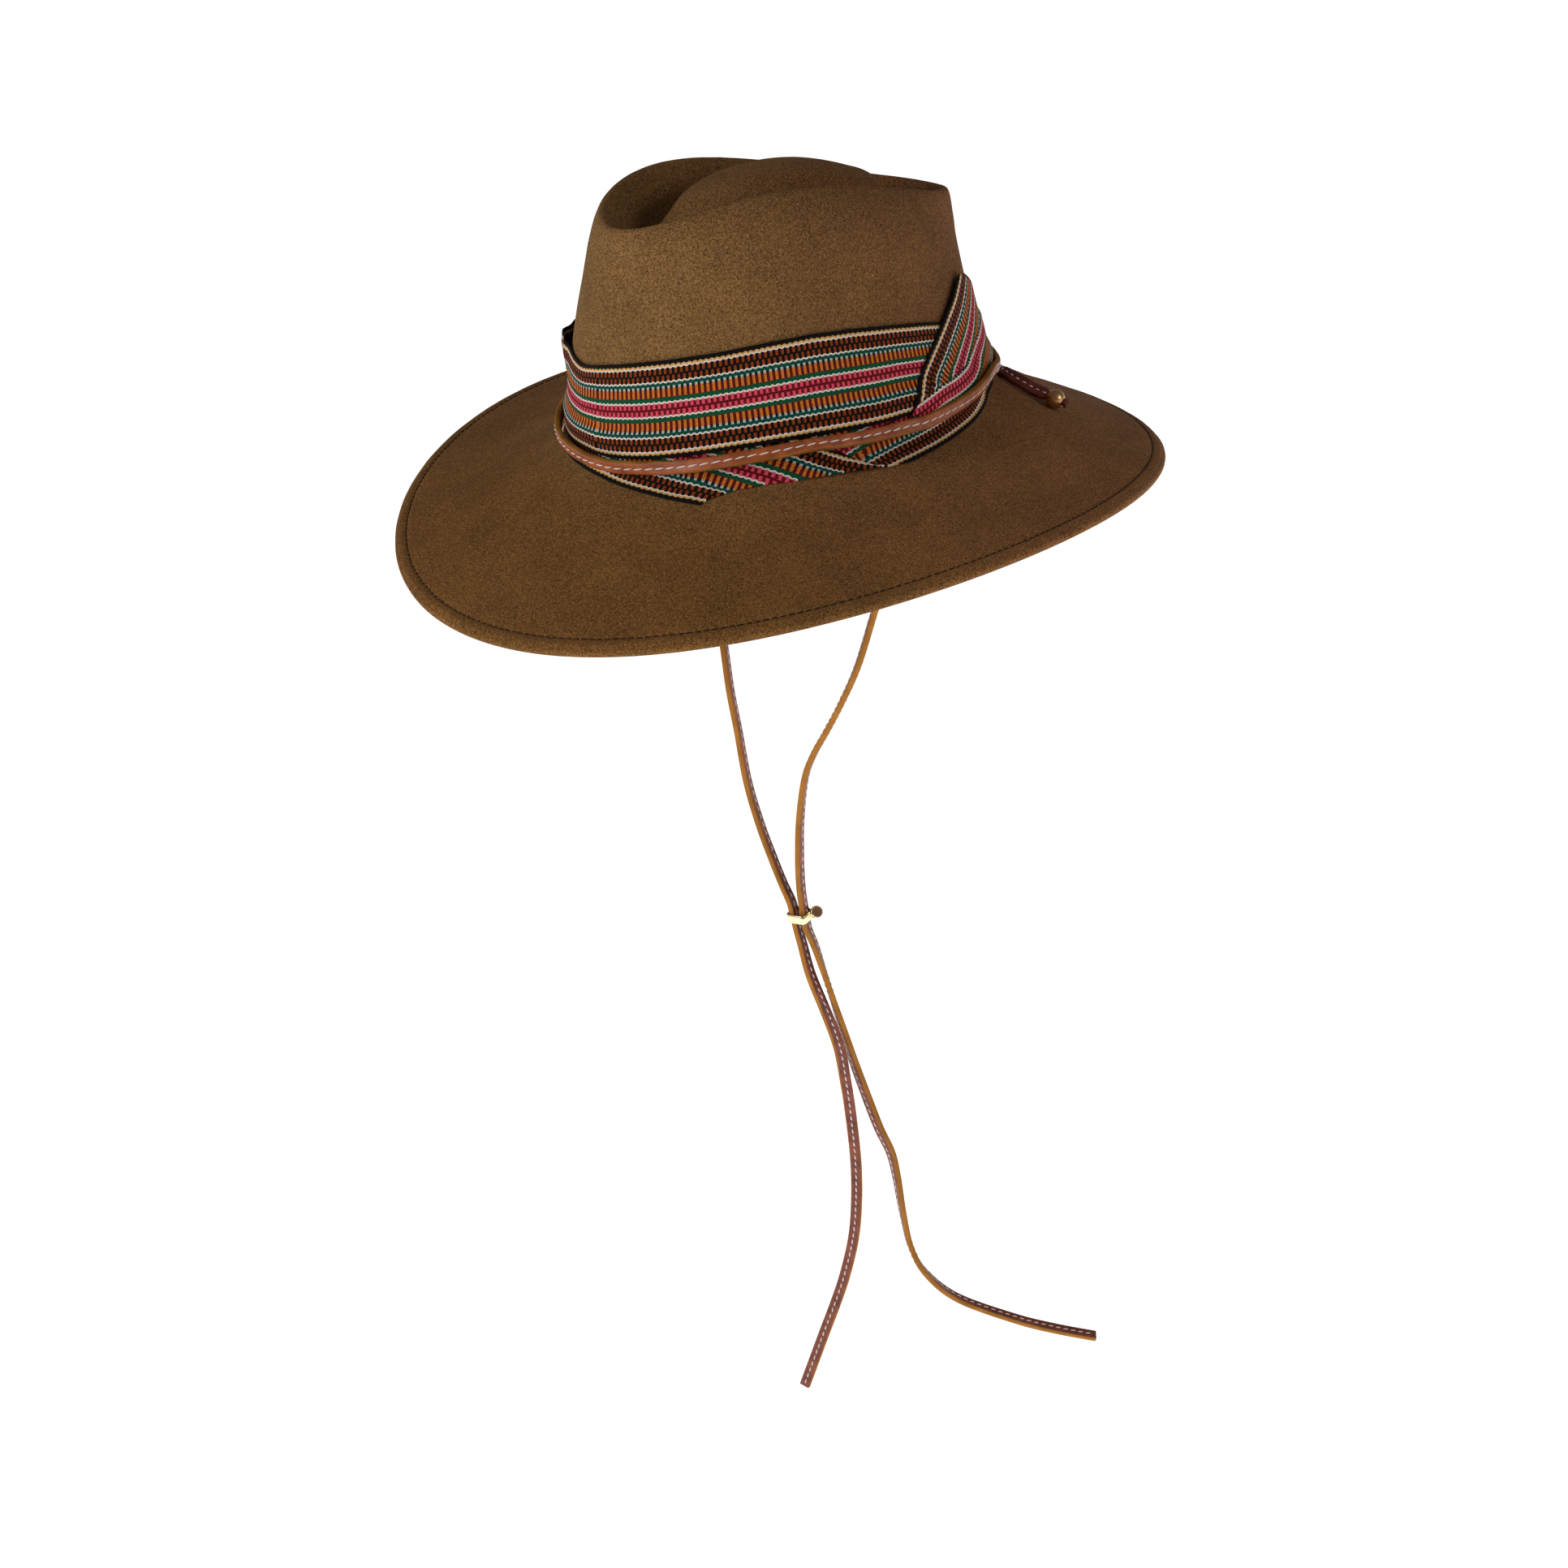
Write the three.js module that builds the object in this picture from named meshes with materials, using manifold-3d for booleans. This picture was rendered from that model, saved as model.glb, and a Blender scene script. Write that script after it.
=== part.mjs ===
// A wide-brimmed felt bush hat with a pinched crown, a striped woven band folded round it,
// a stitched leather lace over the band, and two chin laces that hang through a brass slide.
// Millimetres. The hat looks along -Y, the wearer's left is +X, and the origin is the middle of
// the head opening, level with the crease where the crown meets the brim.
import * as THREE from "three";
import Module from "manifold-3d";
import { mergeVertices } from "three/addons/utils/BufferGeometryUtils.js";

const wasm = await Module();
wasm.setup();

// Driving sizes
const STATIONS = 60;
const DEGREES_PER_STATION = 360 / STATIONS;
const FELT_THICKNESS = 2.2;
const HEM_THICKNESS = 4.2;
const EDGE_ROUNDING = 1.4;
const GAP = 0.35;
const BAND_THICKNESS = 1.1;
const LAYER = BAND_THICKNESS + GAP;
const BAND_TUCK = 6;
const FOOT_SHELF = { top: 2.2 * BAND_TUCK, knee: 1.3 * BAND_TUCK, foldKnee: 1.4 * BAND_TUCK };
const TALL_FOLD = BAND_TUCK + 1;
const CREASE_ROW = 0.5;
const FOLD_EASE = 0.3;
const CREASE_EASE = 0.14;
const LACE_WIDTH = 6.0;
const LACE_THICKNESS = 2.6;
const LACE_CHAMFER = 0.7;
const LACE_ON_FOLD = { from: 90, to: 210 };
const BEAD_RADIUS = 4.5;
const BEAD_HOLE_RADIUS = 1.9;
const SLIDE_HEIGHT = 4.8;
const SLIDE_WALL = 1.0;
const SLIDE_BORE = { across: 9.2, wide: 7.8, corner: 1.0 };
const BARREL = { radius: 2.6, length: 6.0, sunk: 0.5, forward: 0.8 };
const TURNED_SEGMENTS = 14;
const BEAD_STEPS = 6;
const CORNER_SEGMENTS = 4;
const SAME_POINT = 1e-4;

// Sections of the felt, from the middle of the crown out to the edge of the brim. Each is an oval:
// half is its half width, front and back its reach from the origin, zFront, zSide and zBack its
// heights, taper narrows (or widens) its front, and dip sinks its two ends. Steps is the number of
// rings from this row to the next.
const COLUMNS = ["half", "front", "back", "zFront", "zSide", "zBack", "taper", "dip"];
const SECTIONS = [
  { name: "island top", steps: 1, row: [1, -6, 8, 112, 112, 112, 0, 0] },
  { name: "island crown", steps: 1, row: [10, 24, 26, 112, 112, 109, 0.1, 0] },
  { name: "island side", steps: 1, row: [18, 43, 45, 108, 108, 102, 0.1, 0] },
  { name: "groove slope", steps: 1, row: [24, 54, 60, 98, 101, 94, 0.05, 0] },
  { name: "groove floor", steps: 1, row: [31, 66, 73, 88, 92, 76, 0, 0] },
  { name: "groove wall", steps: 1, row: [38, 75, 85, 92, 98, 75, -0.04, -1] },
  { name: "crest inside", steps: 1, row: [42.5, 79.5, 94, 101, 105, 79, -0.06, -2] },
  { name: "crest", steps: 1, row: [46, 82, 99, 103.8, 107, 80.3, -0.06, -2.5] },
  { name: "crest outside", steps: 1, row: [50, 84.5, 100.5, 102.5, 105.5, 78, -0.05, -2] },
  { name: "shoulder", steps: 2, row: [57.5, 87, 99, 94, 97.5, 68, -0.03, -1] },
  { name: "high wall", steps: 2, row: [66, 91, 96.5, 76, 81, 56, 0, 0] },
  { name: "middle wall", steps: 2, row: [76, 97.5, 98, 46, 48, 36, 0, 0] },
  { name: "low wall", steps: 1, row: [82.8, 100.8, 100.8, 18, 20, 15, 0, 0] },
  { name: "crease top", steps: 1, row: [84, 101.5, 101.5, 6, 6, 6, 0, 0] },
  { name: "crease", steps: 1, row: [87, 104.5, 104.5, 0, 0, 0, 0, 0] },
  { name: "brim root", steps: 2, row: [96, 113, 113, -6, -5, -6, 0, 0] },
  { name: "inner brim", steps: 2, row: [115, 134, 133, -17, -12, -17, 0, 0] },
  { name: "middle brim", steps: 1, row: [137, 158.5, 156, -28.6, -17.4, -30.6, 0, 0] },
  { name: "hem line", steps: 1, row: [158.5, 181, 179, -40.9, -21.4, -42.2, 0, 0] },
  { name: "hem", steps: 1, row: [160, 182.5, 180.5, -41.8, -21.7, -43.2, 0, 0] },
  { name: "brim edge", steps: 1, row: [165, 187.5, 186, -45.5, -22.7, -47, 0, 0] },
];
const CROWN_LEAN = { height: 105, half: 46, rise: 2 };

// Heights round the crown every 30 degrees, from the front towards the wearer's left.
// A negative height is a distance out along the brim from the crease.
const AROUND = {
  upperBottom: [6.3, 13.2, 17.4, 15.2, 9, 4.5, 2.5, 4, 8, 11, 9, 5],
  upperTop: [47.5, 54.5, 58.6, 54.3, 42.5, 40, 40, 43, 48, 51, 50.5, 48],
  lowerBottom: [-2.8, -7.6, -1.2, -5.6, -3, -2, -2, -2, -2, -2, -2, -3],
  lace: [3.8, 9.4, 14.9, 12.6, 12.2, 3.8, 1.5, 3, 6, 8.5, 6, 3],
};

// The folds: the station in degrees, and the height of the fold's two edges there.
const SIDE_FOLD = [
  { at: 96, bottom: 13, top: 24 },
  { at: 102, bottom: 12, top: 34 },
  { at: 114, bottom: 10, top: 46 },
  { at: 132, bottom: 6, top: 57 },
  { at: 144, bottom: 4, top: 47 },
  { at: 168, bottom: 1.5, top: 42 },
  { at: 204, bottom: 3, top: 41 },
];
const FAR_FOLD = [
  { at: 252, bottom: 24, top: 46 },
  { at: 276, bottom: 24, top: 49 },
  { at: 306, bottom: 24, top: 47 },
  { at: 318, bottom: 25, top: 44.5 },
  { at: 328, bottom: 27, top: 41 },
];

// Routes of the laces: points chosen by hand, each with the way its stitched face looks.
const TAIL_ROUTE = [
  { at: [18, 109.6, -1.2], face: [0.15, 0.75, 0.65] },
  { at: [24, 109.2, -2.9], face: [0.15, 0.6, 0.8] },
  { at: [30, 108, -3.9], face: [0.15, 0.46, 0.88] },
  { at: [36, 106, -4.1], face: [0.2, 0.43, 0.88] },
  { at: [41.5, 104.4, -4.6], face: [0.23, 0.42, 0.88] },
  { at: [47, 103.7, -5.5], face: [0.25, 0.4, 0.88] },
  { at: [53, 104, -7.1], face: [0.25, 0.38, 0.89] },
  { at: [59, 105, -8.5], face: [0.26, 0.36, 0.9] },
  { at: [64.4, 106, -9.6], face: [0.26, 0.36, 0.9] },
  { at: [67.8, 107.1, -10.6], face: [0.26, 0.36, 0.9], narrow: true },
  { at: [71, 108.3, -11.6], face: [0.26, 0.36, 0.9], narrow: true },
  { at: [74.2, 109.6, -12.6], face: [0.26, 0.36, 0.9], narrow: true },
  { at: [76.6, 110.6, -13.3], face: [0.26, 0.36, 0.9], narrow: true },
];
const BEAD_ON_TAIL = { from: 9, to: 11 };
const LEFT_ROUTE = [
  { at: [78.6, 8, 16], face: [1, 0, 0] },
  { at: [79.3, 8, 8], face: [1, 0, 0] },
  { at: [79.4, 8, -1], face: [1, 0, 0] },
  { at: [78.2, 7.6, -15], face: [1, 0, 0] },
  { at: [74.8, 6.4, -32], face: [1, 0, 0] },
  { at: [68.6, 5, -56], face: [1, 0.05, 0] },
  { at: [56, 3.3, -88.1], face: [1, 0.1, 0] },
  { at: [45.9, -0.4, -118.6], face: [1, 0.15, 0] },
  { at: [34.2, -1.8, -141.4], face: [1, 0.2, 0] },
  { at: [22.5, -2.5, -160.6], face: [1, 0.25, 0] },
  { at: [12.1, -3.5, -177.3], face: [1, 0.3, 0] },
  { at: [5.2, -4.4, -193], face: [1, 0.3, 0] },
  { at: [1.3, -6.1, -216.9], face: [1, 0.3, 0] },
  { at: [0.5, -7.6, -239.3], face: [1, 0.3, 0] },
  { at: [0.6, -8.1, -254.5], face: [1, 0.3, 0] },
  { at: [1.5, -8.2, -263.9], face: [1, 0.3, 0] },
  { at: [2.2, -7.9, -271.4], face: [1, 0.3, 0] },
  { at: [3, -7.4, -278.9], face: [1, 0.3, 0] },
  { at: [4.4, -4.3, -290.9], face: [1, 0.2, 0] },
  { at: [5.9, -1, -307.2], face: [1, 0, 0] },
  { at: [7.2, 4.6, -332.8], face: [0.9, -0.45, 0] },
  { at: [10.9, 10.2, -363.5], face: [0.8, -0.6, 0] },
  { at: [15.3, 14.2, -386.7], face: [0.6, -0.8, 0] },
  { at: [20.4, 16.9, -405.2], face: [0.4, -0.95, 0] },
  { at: [23.8, 21.1, -421.4], face: [0.2, -0.98, 0] },
  { at: [25.2, 23.1, -437.6], face: [0.12, -0.99, 0] },
  { at: [26.5, 24.9, -461.8], face: [0.12, -0.99, 0] },
  { at: [28.7, 27.5, -484.8], face: [0.15, -0.98, 0.1] },
  { at: [33.2, 33.2, -503], face: [0.25, -0.9, 0.35] },
  { at: [43.5, 46.2, -521.5], face: [0.35, -0.75, 0.6] },
  { at: [63, 69.8, -538], face: [0.4, -0.6, 0.7] },
  { at: [76.8, 87.1, -547], face: [0.4, -0.6, 0.7] },
  { at: [90.6, 104.6, -554.3], face: [0.4, -0.6, 0.7] },
];
const RIGHT_ROUTE = [
  { at: [-78.6, 8, 16], face: [1, 0, 0] },
  { at: [-79.3, 8, 8], face: [1, 0, 0] },
  { at: [-79.4, 8, -1], face: [1, 0, 0] },
  { at: [-78.6, 7.6, -15], face: [1, 0, 0] },
  { at: [-76.6, 6.4, -36], face: [1, 0, 0] },
  { at: [-73.2, 4.9, -64], face: [1, 0, 0] },
  { at: [-67.8, 2.8, -98], face: [1, 0.05, 0] },
  { at: [-61.5, 0.6, -123], face: [1, 0.1, 0] },
  { at: [-55.8, -1.4, -141.2], face: [1, 0.1, 0] },
  { at: [-50, -4.1, -163.1], face: [1, 0.15, 0] },
  { at: [-44.3, -5.5, -183.4], face: [1, 0.15, 0] },
  { at: [-38, -7, -208.9], face: [1, 0.2, 0] },
  { at: [-29.8, -7.6, -229.9], face: [1, 0.2, 0] },
  { at: [-19.7, -8.8, -245.9], face: [1, 0.25, 0] },
  { at: [-10.6, -10.7, -255.8], face: [1, 0.28, 0] },
  { at: [-4.5, -10.9, -264.3], face: [1, 0.3, 0] },
  { at: [-2.8, -10.7, -271.3], face: [1, 0.3, 0] },
  { at: [-1.8, -10.2, -278.3], face: [1, 0.3, 0] },
  { at: [-0.4, -8.8, -289.8], face: [1, 0.2, 0] },
  { at: [2, -6.7, -307.7], face: [1, 0, 0] },
  { at: [7.6, -2, -332.4], face: [0.9, -0.45, 0] },
  { at: [10.6, 1.6, -351.9], face: [0.85, -0.6, 0] },
  { at: [11.9, 3.3, -372.7], face: [0.75, -0.7, 0] },
  { at: [12.2, 5, -393.5], face: [0.6, -0.82, 0] },
  { at: [12.3, 6.4, -425], face: [0.53, -0.85, 0] },
  { at: [11.6, 5.7, -451.6], face: [0.53, -0.85, 0] },
  { at: [9.9, 3.4, -475.7], face: [0.53, -0.85, 0] },
  { at: [6.3, -1.2, -499.9], face: [0.53, -0.85, 0] },
  { at: [2.5, -6.1, -518.9], face: [0.53, -0.85, 0] },
  { at: [-1.8, -11.6, -538], face: [0.53, -0.85, 0] },
  { at: [-9.9, -22, -574.7], face: [0.53, -0.85, 0] },
];
const SLIDE_AT = 16;

// A value from a list spaced evenly round the crown, smooth through its points.
function around(list, degrees) {
  const t = (((degrees / 360) % 1) + 1) % 1 * list.length;
  const i = Math.floor(t);
  const pick = (k) => list[(i + k + list.length) % list.length];
  return catmullRom(pick(-1), pick(0), pick(1), pick(2), t - i);
}

function catmullRom(a, b, c, d, t) {
  const square = 2 * a - 5 * b + 4 * c - d;
  const cube = 3 * b - a - 3 * c + d;
  return b + ((c - a) * t + square * t ** 2 + cube * t ** 3) / 2;
}

// A value from rows that name the degrees where they hold, straight between them.
function between(rows, key, degrees) {
  const next = rows.findIndex((row) => row.at >= degrees);
  if (next <= 0) return rows[next === 0 ? 0 : rows.length - 1][key];
  const [a, b] = [rows[next - 1], rows[next]];
  return THREE.MathUtils.lerp(a[key], b[key], (degrees - a.at) / (b.at - a.at));
}

// One point of a felt section: the oval's place, and its height as a wave round the oval.
function feltPoint(section, angle) {
  const { half, front, back, zFront, zSide, zBack, taper, dip } = section;
  const x = half * Math.sin(angle) * (1 - taper * Math.cos(angle));
  const y = (back - front) / 2 - ((back + front) / 2) * Math.cos(angle);
  const ends = (zFront + zBack) / 2;
  const wave = (zFront - zBack) / 2 - dip;
  let z = (zSide + ends) / 2 + wave * Math.cos(angle);
  z += ((ends - zSide) / 2) * Math.cos(2 * angle) + dip * Math.cos(3 * angle);
  const up = THREE.MathUtils.clamp(z / CROWN_LEAN.height, 0, 1);
  return new THREE.Vector3(x, y, z + (CROWN_LEAN.rise * up * x) / CROWN_LEAN.half);
}

// The felt's outer surface as rings of points, the first at the middle of the crown.
function feltRings() {
  const rings = [];
  SECTIONS.forEach(({ name, steps }, i) => {
    const at = (k) => SECTIONS[THREE.MathUtils.clamp(i + k, 0, SECTIONS.length - 1)].row;
    for (let step = 0; step < steps; step++) {
      const section = {};
      COLUMNS.forEach((key, c) => {
        section[key] = catmullRom(at(-1)[c], at(0)[c], at(1)[c], at(2)[c], step / steps);
      });
      const ring = [];
      for (let s = 0; s < STATIONS; s++)
        ring.push(feltPoint(section, (2 * Math.PI * s) / STATIONS));
      ring.section = name;
      rings.push(ring);
    }
  });
  return rings;
}

// The way the felt faces at each point of each ring.
function ringNormals(rings) {
  return rings.map((ring, i) =>
    ring.map((point, s) => {
      const inner = rings[Math.max(i - 1, 0)][s];
      const outer = rings[Math.min(i + 1, rings.length - 1)][s];
      const left = ring[(s + 1) % STATIONS];
      const right = ring[(s + STATIONS - 1) % STATIONS];
      return outer.clone().sub(inner).cross(left.clone().sub(right)).normalize();
    }),
  );
}

const RINGS = feltRings();
const NORMALS = ringNormals(RINGS);
const CREASE = RINGS.findIndex((ring) => ring.section === "crease");
const HEM = RINGS.findIndex((ring) => ring.section === "hem");

// A BufferGeometry from points and triangles.
function solidGeometry(points, faces) {
  const geometry = new THREE.BufferGeometry();
  const flat = points.flatMap((p) => [p.x, p.y, p.z]);
  geometry.setAttribute("position", new THREE.Float32BufferAttribute(flat, 3));
  geometry.setIndex(faces.flat());
  geometry.computeVertexNormals();
  return geometry;
}

// The felt: outer skin, rounded edge and inner skin, with the hem twice as thick.
function feltGeometry() {
  const inner = RINGS.map((ring, i) => {
    const depth = i >= HEM ? HEM_THICKNESS : FELT_THICKNESS;
    return ring.map((p, s) => p.clone().addScaledVector(NORMALS[i][s], -depth));
  });
  const last = RINGS.length - 1;
  const edge = RINGS[last].map((p, s) => {
    const middle = p.clone().add(inner[last][s]).multiplyScalar(0.5);
    const out = p.clone().sub(RINGS[last - 1][s]).normalize();
    return middle.addScaledVector(out, EDGE_ROUNDING);
  });
  const rings = [...RINGS, edge, ...inner.reverse()];
  const points = rings.flat();
  const faces = [];
  const index = (ring, s) => ring * STATIONS + (s % STATIONS);
  for (let r = 0; r < rings.length - 1; r++)
    for (let s = 0; s < STATIONS; s++) {
      faces.push([index(r, s), index(r + 1, s), index(r + 1, s + 1)]);
      faces.push([index(r, s), index(r + 1, s + 1), index(r, s + 1)]);
    }
  for (const [ring, turned] of [[0, false], [rings.length - 1, true]]) {
    const middle = new THREE.Vector3();
    rings[ring].forEach((p) => middle.addScaledVector(p, 1 / STATIONS));
    const centre = points.push(middle) - 1;
    for (let s = 0; s < STATIONS; s++) {
      const [a, b] = [index(ring, s), index(ring, s + 1)];
      faces.push(turned ? [a, centre, b] : [centre, a, b]);
    }
  }
  return solidGeometry(points, faces);
}

// A point beside the felt at a station: height is above the crease on the crown, or, when
// negative, a distance out along the brim; off is how far it stands off the felt.
function besideFelt(station, height, off) {
  const s = ((station % STATIONS) + STATIONS) % STATIONS;
  let i = CREASE;
  let t = 0;
  if (height >= 0) {
    do i--;
    while (RINGS[i][s].z < height);
    t = (height - RINGS[i][s].z) / (RINGS[i + 1][s].z - RINGS[i][s].z);
  } else {
    let left = -height;
    while (RINGS[i][s].distanceTo(RINGS[i + 1][s]) < left) {
      left -= RINGS[i][s].distanceTo(RINGS[i + 1][s]);
      i++;
    }
    t = left / RINGS[i][s].distanceTo(RINGS[i + 1][s]);
  }
  const normal = NORMALS[i][s].clone().lerp(NORMALS[i + 1][s], t).normalize();
  return RINGS[i][s].clone().lerp(RINGS[i + 1][s], t).addScaledVector(normal, off);
}

// A solid through stations, each the loop of one cross-section: its outer points first, then its
// inner points back again. A closed loft goes right round; an open one has its two ends capped.
function loft(stations, closed) {
  const size = stations[0].length;
  const faces = [];
  const index = (station, k) => (station % stations.length) * size + (k % size);
  for (let s = 0; s < stations.length - (closed ? 0 : 1); s++)
    for (let k = 0; k < size; k++) {
      faces.push([index(s, k), index(s, k + 1), index(s + 1, k + 1)]);
      faces.push([index(s, k), index(s + 1, k + 1), index(s + 1, k)]);
    }
  if (!closed)
    for (let k = 0; k < size / 2 - 1; k++) {
      const corners = [k, k + 1, size - 2 - k, size - 1 - k];
      const [a, b, c, d] = corners.map((n) => index(0, n));
      faces.push([a, d, c], [a, c, b]);
      const [e, f, g, h] = corners.map((n) => index(stations.length - 1, n));
      faces.push([e, f, g], [e, g, h]);
    }
  return solidGeometry(stations.flat(), faces);
}

// The cross-section of a band at a station, from rows of height and stand-off, top row first.
function bandSection(station, rows, thickness) {
  const outer = rows.map((row) => besideFelt(station, row.height, row.off + thickness));
  const inner = rows.map((row) => besideFelt(station, row.height, row.off));
  return [...outer, ...inner.reverse()];
}

// Sections made all the way round the crown, or from the first to the last row of a fold.
function everyStation(make) {
  return Array.from({ length: STATIONS }, (_, s) => make(s, s * DEGREES_PER_STATION));
}

function stationsOf(rows, make) {
  const first = Math.round(rows[0].at / DEGREES_PER_STATION);
  const last = Math.round(rows[rows.length - 1].at / DEGREES_PER_STATION);
  const made = [];
  for (let s = first; s <= last; s++) made.push(make(s, s * DEGREES_PER_STATION));
  return made;
}

// The upper wrap lies on the felt and its foot steps out over the top of the lower wrap.
function upperWrapGeometry() {
  const sections = everyStation((s, degrees) => {
    const bottom = around(AROUND.upperBottom, degrees);
    const top = around(AROUND.upperTop, degrees);
    const rows = [
      { height: top, off: GAP },
      { height: (top + bottom) / 2 + BAND_TUCK, off: GAP },
      { height: bottom + FOOT_SHELF.top, off: GAP },
      { height: bottom + FOOT_SHELF.knee, off: GAP + LAYER },
      { height: bottom, off: GAP + LAYER },
    ];
    return bandSection(s, rows, BAND_THICKNESS);
  });
  return loft(sections, true);
}

// The lower wrap runs from under the upper wrap's foot, through the crease, on to the brim.
function lowerWrapGeometry() {
  const sections = everyStation((s, degrees) => {
    const top = around(AROUND.upperBottom, degrees) + BAND_TUCK;
    const rows = [
      { height: top, off: GAP },
      { height: top / 2, off: GAP },
      { height: CREASE_ROW, off: GAP },
      { height: around(AROUND.lowerBottom, degrees), off: GAP },
    ];
    return bandSection(s, rows, BAND_THICKNESS);
  });
  return loft(sections, true);
}

// The fold at the wearer's left rear lies over the upper wrap, whose foot stands off one layer more.
function sideFoldGeometry() {
  const sections = stationsOf(SIDE_FOLD, (s, degrees) => {
    const foot = around(AROUND.upperBottom, degrees) + FOOT_SHELF.foldKnee;
    const bottom = between(SIDE_FOLD, "bottom", degrees);
    const top = between(SIDE_FOLD, "top", degrees);
    const tall = top > foot + TALL_FOLD;
    const knee = tall ? foot : (top + bottom) / 2;
    const shelf = tall ? foot + BAND_TUCK : (top + knee) / 2;
    const high = tall ? GAP + LAYER : GAP + 2 * LAYER;
    const rows = [
      { height: top, off: high },
      { height: (top + shelf) / 2, off: high + FOLD_EASE },
      { height: shelf, off: high + FOLD_EASE },
      { height: knee, off: GAP + 2 * LAYER + FOLD_EASE },
      { height: bottom, off: GAP + 2 * LAYER },
    ];
    return bandSection(s, rows, BAND_THICKNESS);
  });
  return loft(sections, false);
}

function farFoldGeometry() {
  const sections = stationsOf(FAR_FOLD, (s, degrees) => {
    const bottom = between(FAR_FOLD, "bottom", degrees);
    const top = between(FAR_FOLD, "top", degrees);
    const rows = [top, (top + bottom) / 2, bottom].map((height) => ({ height, off: GAP + LAYER }));
    return bandSection(s, rows, BAND_THICKNESS);
  });
  return loft(sections, false);
}

// The lace's cross-section: a chamfered bar, wide along side and thick along face.
function laceSection(centre, side, face, width, thickness) {
  const w = width / 2;
  const t = thickness / 2;
  const c = Math.min(LACE_CHAMFER, w / 2, t / 2);
  const corners = [[w - c, t], [c - w, t], [-w, t - c], [-w, c - t]];
  const back = [[c - w, -t], [w - c, -t], [w, c - t], [w, t - c]];
  return [...corners, ...back].map(([u, v]) =>
    centre.clone().addScaledVector(side, u).addScaledVector(face, v),
  );
}

// The lace round the crown stands off over the bands, and over the side fold where it crosses it.
function leatherBandGeometry() {
  const half = LACE_WIDTH / 2;
  const sections = everyStation((s, degrees) => {
    const overFold = degrees >= LACE_ON_FOLD.from && degrees <= LACE_ON_FOLD.to;
    const height = around(AROUND.lace, degrees);
    const ease = CREASE_EASE * Math.max(0, LACE_WIDTH - height);
    const layers = overFold ? 3 * LAYER + FOLD_EASE : 2 * LAYER;
    const off = GAP + layers + LACE_THICKNESS / 2 + ease;
    const centre = besideFelt(s, height, off);
    const up = besideFelt(s, Math.max(height, 0) + half, off);
    const side = up.sub(centre).normalize();
    const along = besideFelt(s + 1, height, off).sub(besideFelt(s - 1, height, off)).normalize();
    const face = side.clone().cross(along).negate().normalize();
    return laceSection(centre, side, face, LACE_WIDTH, LACE_THICKNESS);
  });
  return loft(sections, true);
}

// A free lace: its section carried along the route, each step with its face turned as given.
function freeLaceGeometry(route) {
  const points = route.map((row) => new THREE.Vector3(...row.at));
  const sections = points.map((centre, i) => {
    const before = points[Math.max(i - 1, 0)];
    const after = points[Math.min(i + 1, points.length - 1)];
    const along = after.clone().sub(before).normalize();
    const face = new THREE.Vector3(...route[i].face);
    face.addScaledVector(along, -face.dot(along)).normalize();
    const side = face.clone().cross(along).normalize();
    const width = route[i].narrow ? LACE_THICKNESS : LACE_WIDTH;
    return laceSection(centre, side, face, width, LACE_THICKNESS);
  });
  return loft(sections, false);
}

// A bead drilled through, on the stretch of the tail that is narrowed for it.
function beadMesh(material) {
  const profile = [];
  const reach = Math.acos(BEAD_HOLE_RADIUS / BEAD_RADIUS);
  for (let i = 0; i <= BEAD_STEPS; i++) {
    const angle = -reach + (2 * reach * i) / BEAD_STEPS;
    profile.push(new THREE.Vector2(BEAD_RADIUS * Math.cos(angle), BEAD_RADIUS * Math.sin(angle)));
  }
  profile.push(profile[0].clone());
  const geometry = weld(new THREE.LatheGeometry(profile, TURNED_SEGMENTS));
  const from = new THREE.Vector3(...TAIL_ROUTE[BEAD_ON_TAIL.from].at);
  const to = new THREE.Vector3(...TAIL_ROUTE[BEAD_ON_TAIL.to].at);
  const mesh = new THREE.Mesh(geometry, material);
  mesh.position.copy(from).add(to).multiplyScalar(0.5);
  mesh.quaternion.setFromUnitVectors(new THREE.Vector3(0, 1, 0), to.sub(from).normalize());
  return mesh;
}

// Points that only differ in their normals or texture places become one.
function weld(geometry) {
  geometry.deleteAttribute("normal");
  geometry.deleteAttribute("uv");
  return mergeVertices(geometry, SAME_POINT);
}

function toSolid(geometry) {
  const merged = weld(geometry);
  return new wasm.Manifold(
    new wasm.Mesh({
      numProp: 3,
      vertProperties: new Float32Array(merged.attributes.position.array),
      triVerts: new Uint32Array(merged.index.array),
    }),
  );
}

function fromSolid(solid) {
  const mesh = solid.getMesh();
  const geometry = new THREE.BufferGeometry();
  geometry.setAttribute("position", new THREE.BufferAttribute(mesh.vertProperties, 3));
  geometry.setIndex(new THREE.BufferAttribute(mesh.triVerts, 1));
  geometry.computeVertexNormals();
  return geometry;
}

// A rectangle with rounded corners, as a Shape or as a hole in one.
function roundedRectangle(target, across, wide, radius) {
  const [x, y] = [across / 2, wide / 2];
  target.moveTo(x - radius, -y);
  target.absarc(x - radius, radius - y, radius, -Math.PI / 2, 0);
  target.absarc(x - radius, y - radius, radius, 0, Math.PI / 2);
  target.absarc(radius - x, y - radius, radius, Math.PI / 2, Math.PI);
  target.absarc(radius - x, radius - y, radius, Math.PI, 1.5 * Math.PI);
  target.closePath();
  return target;
}

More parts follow.
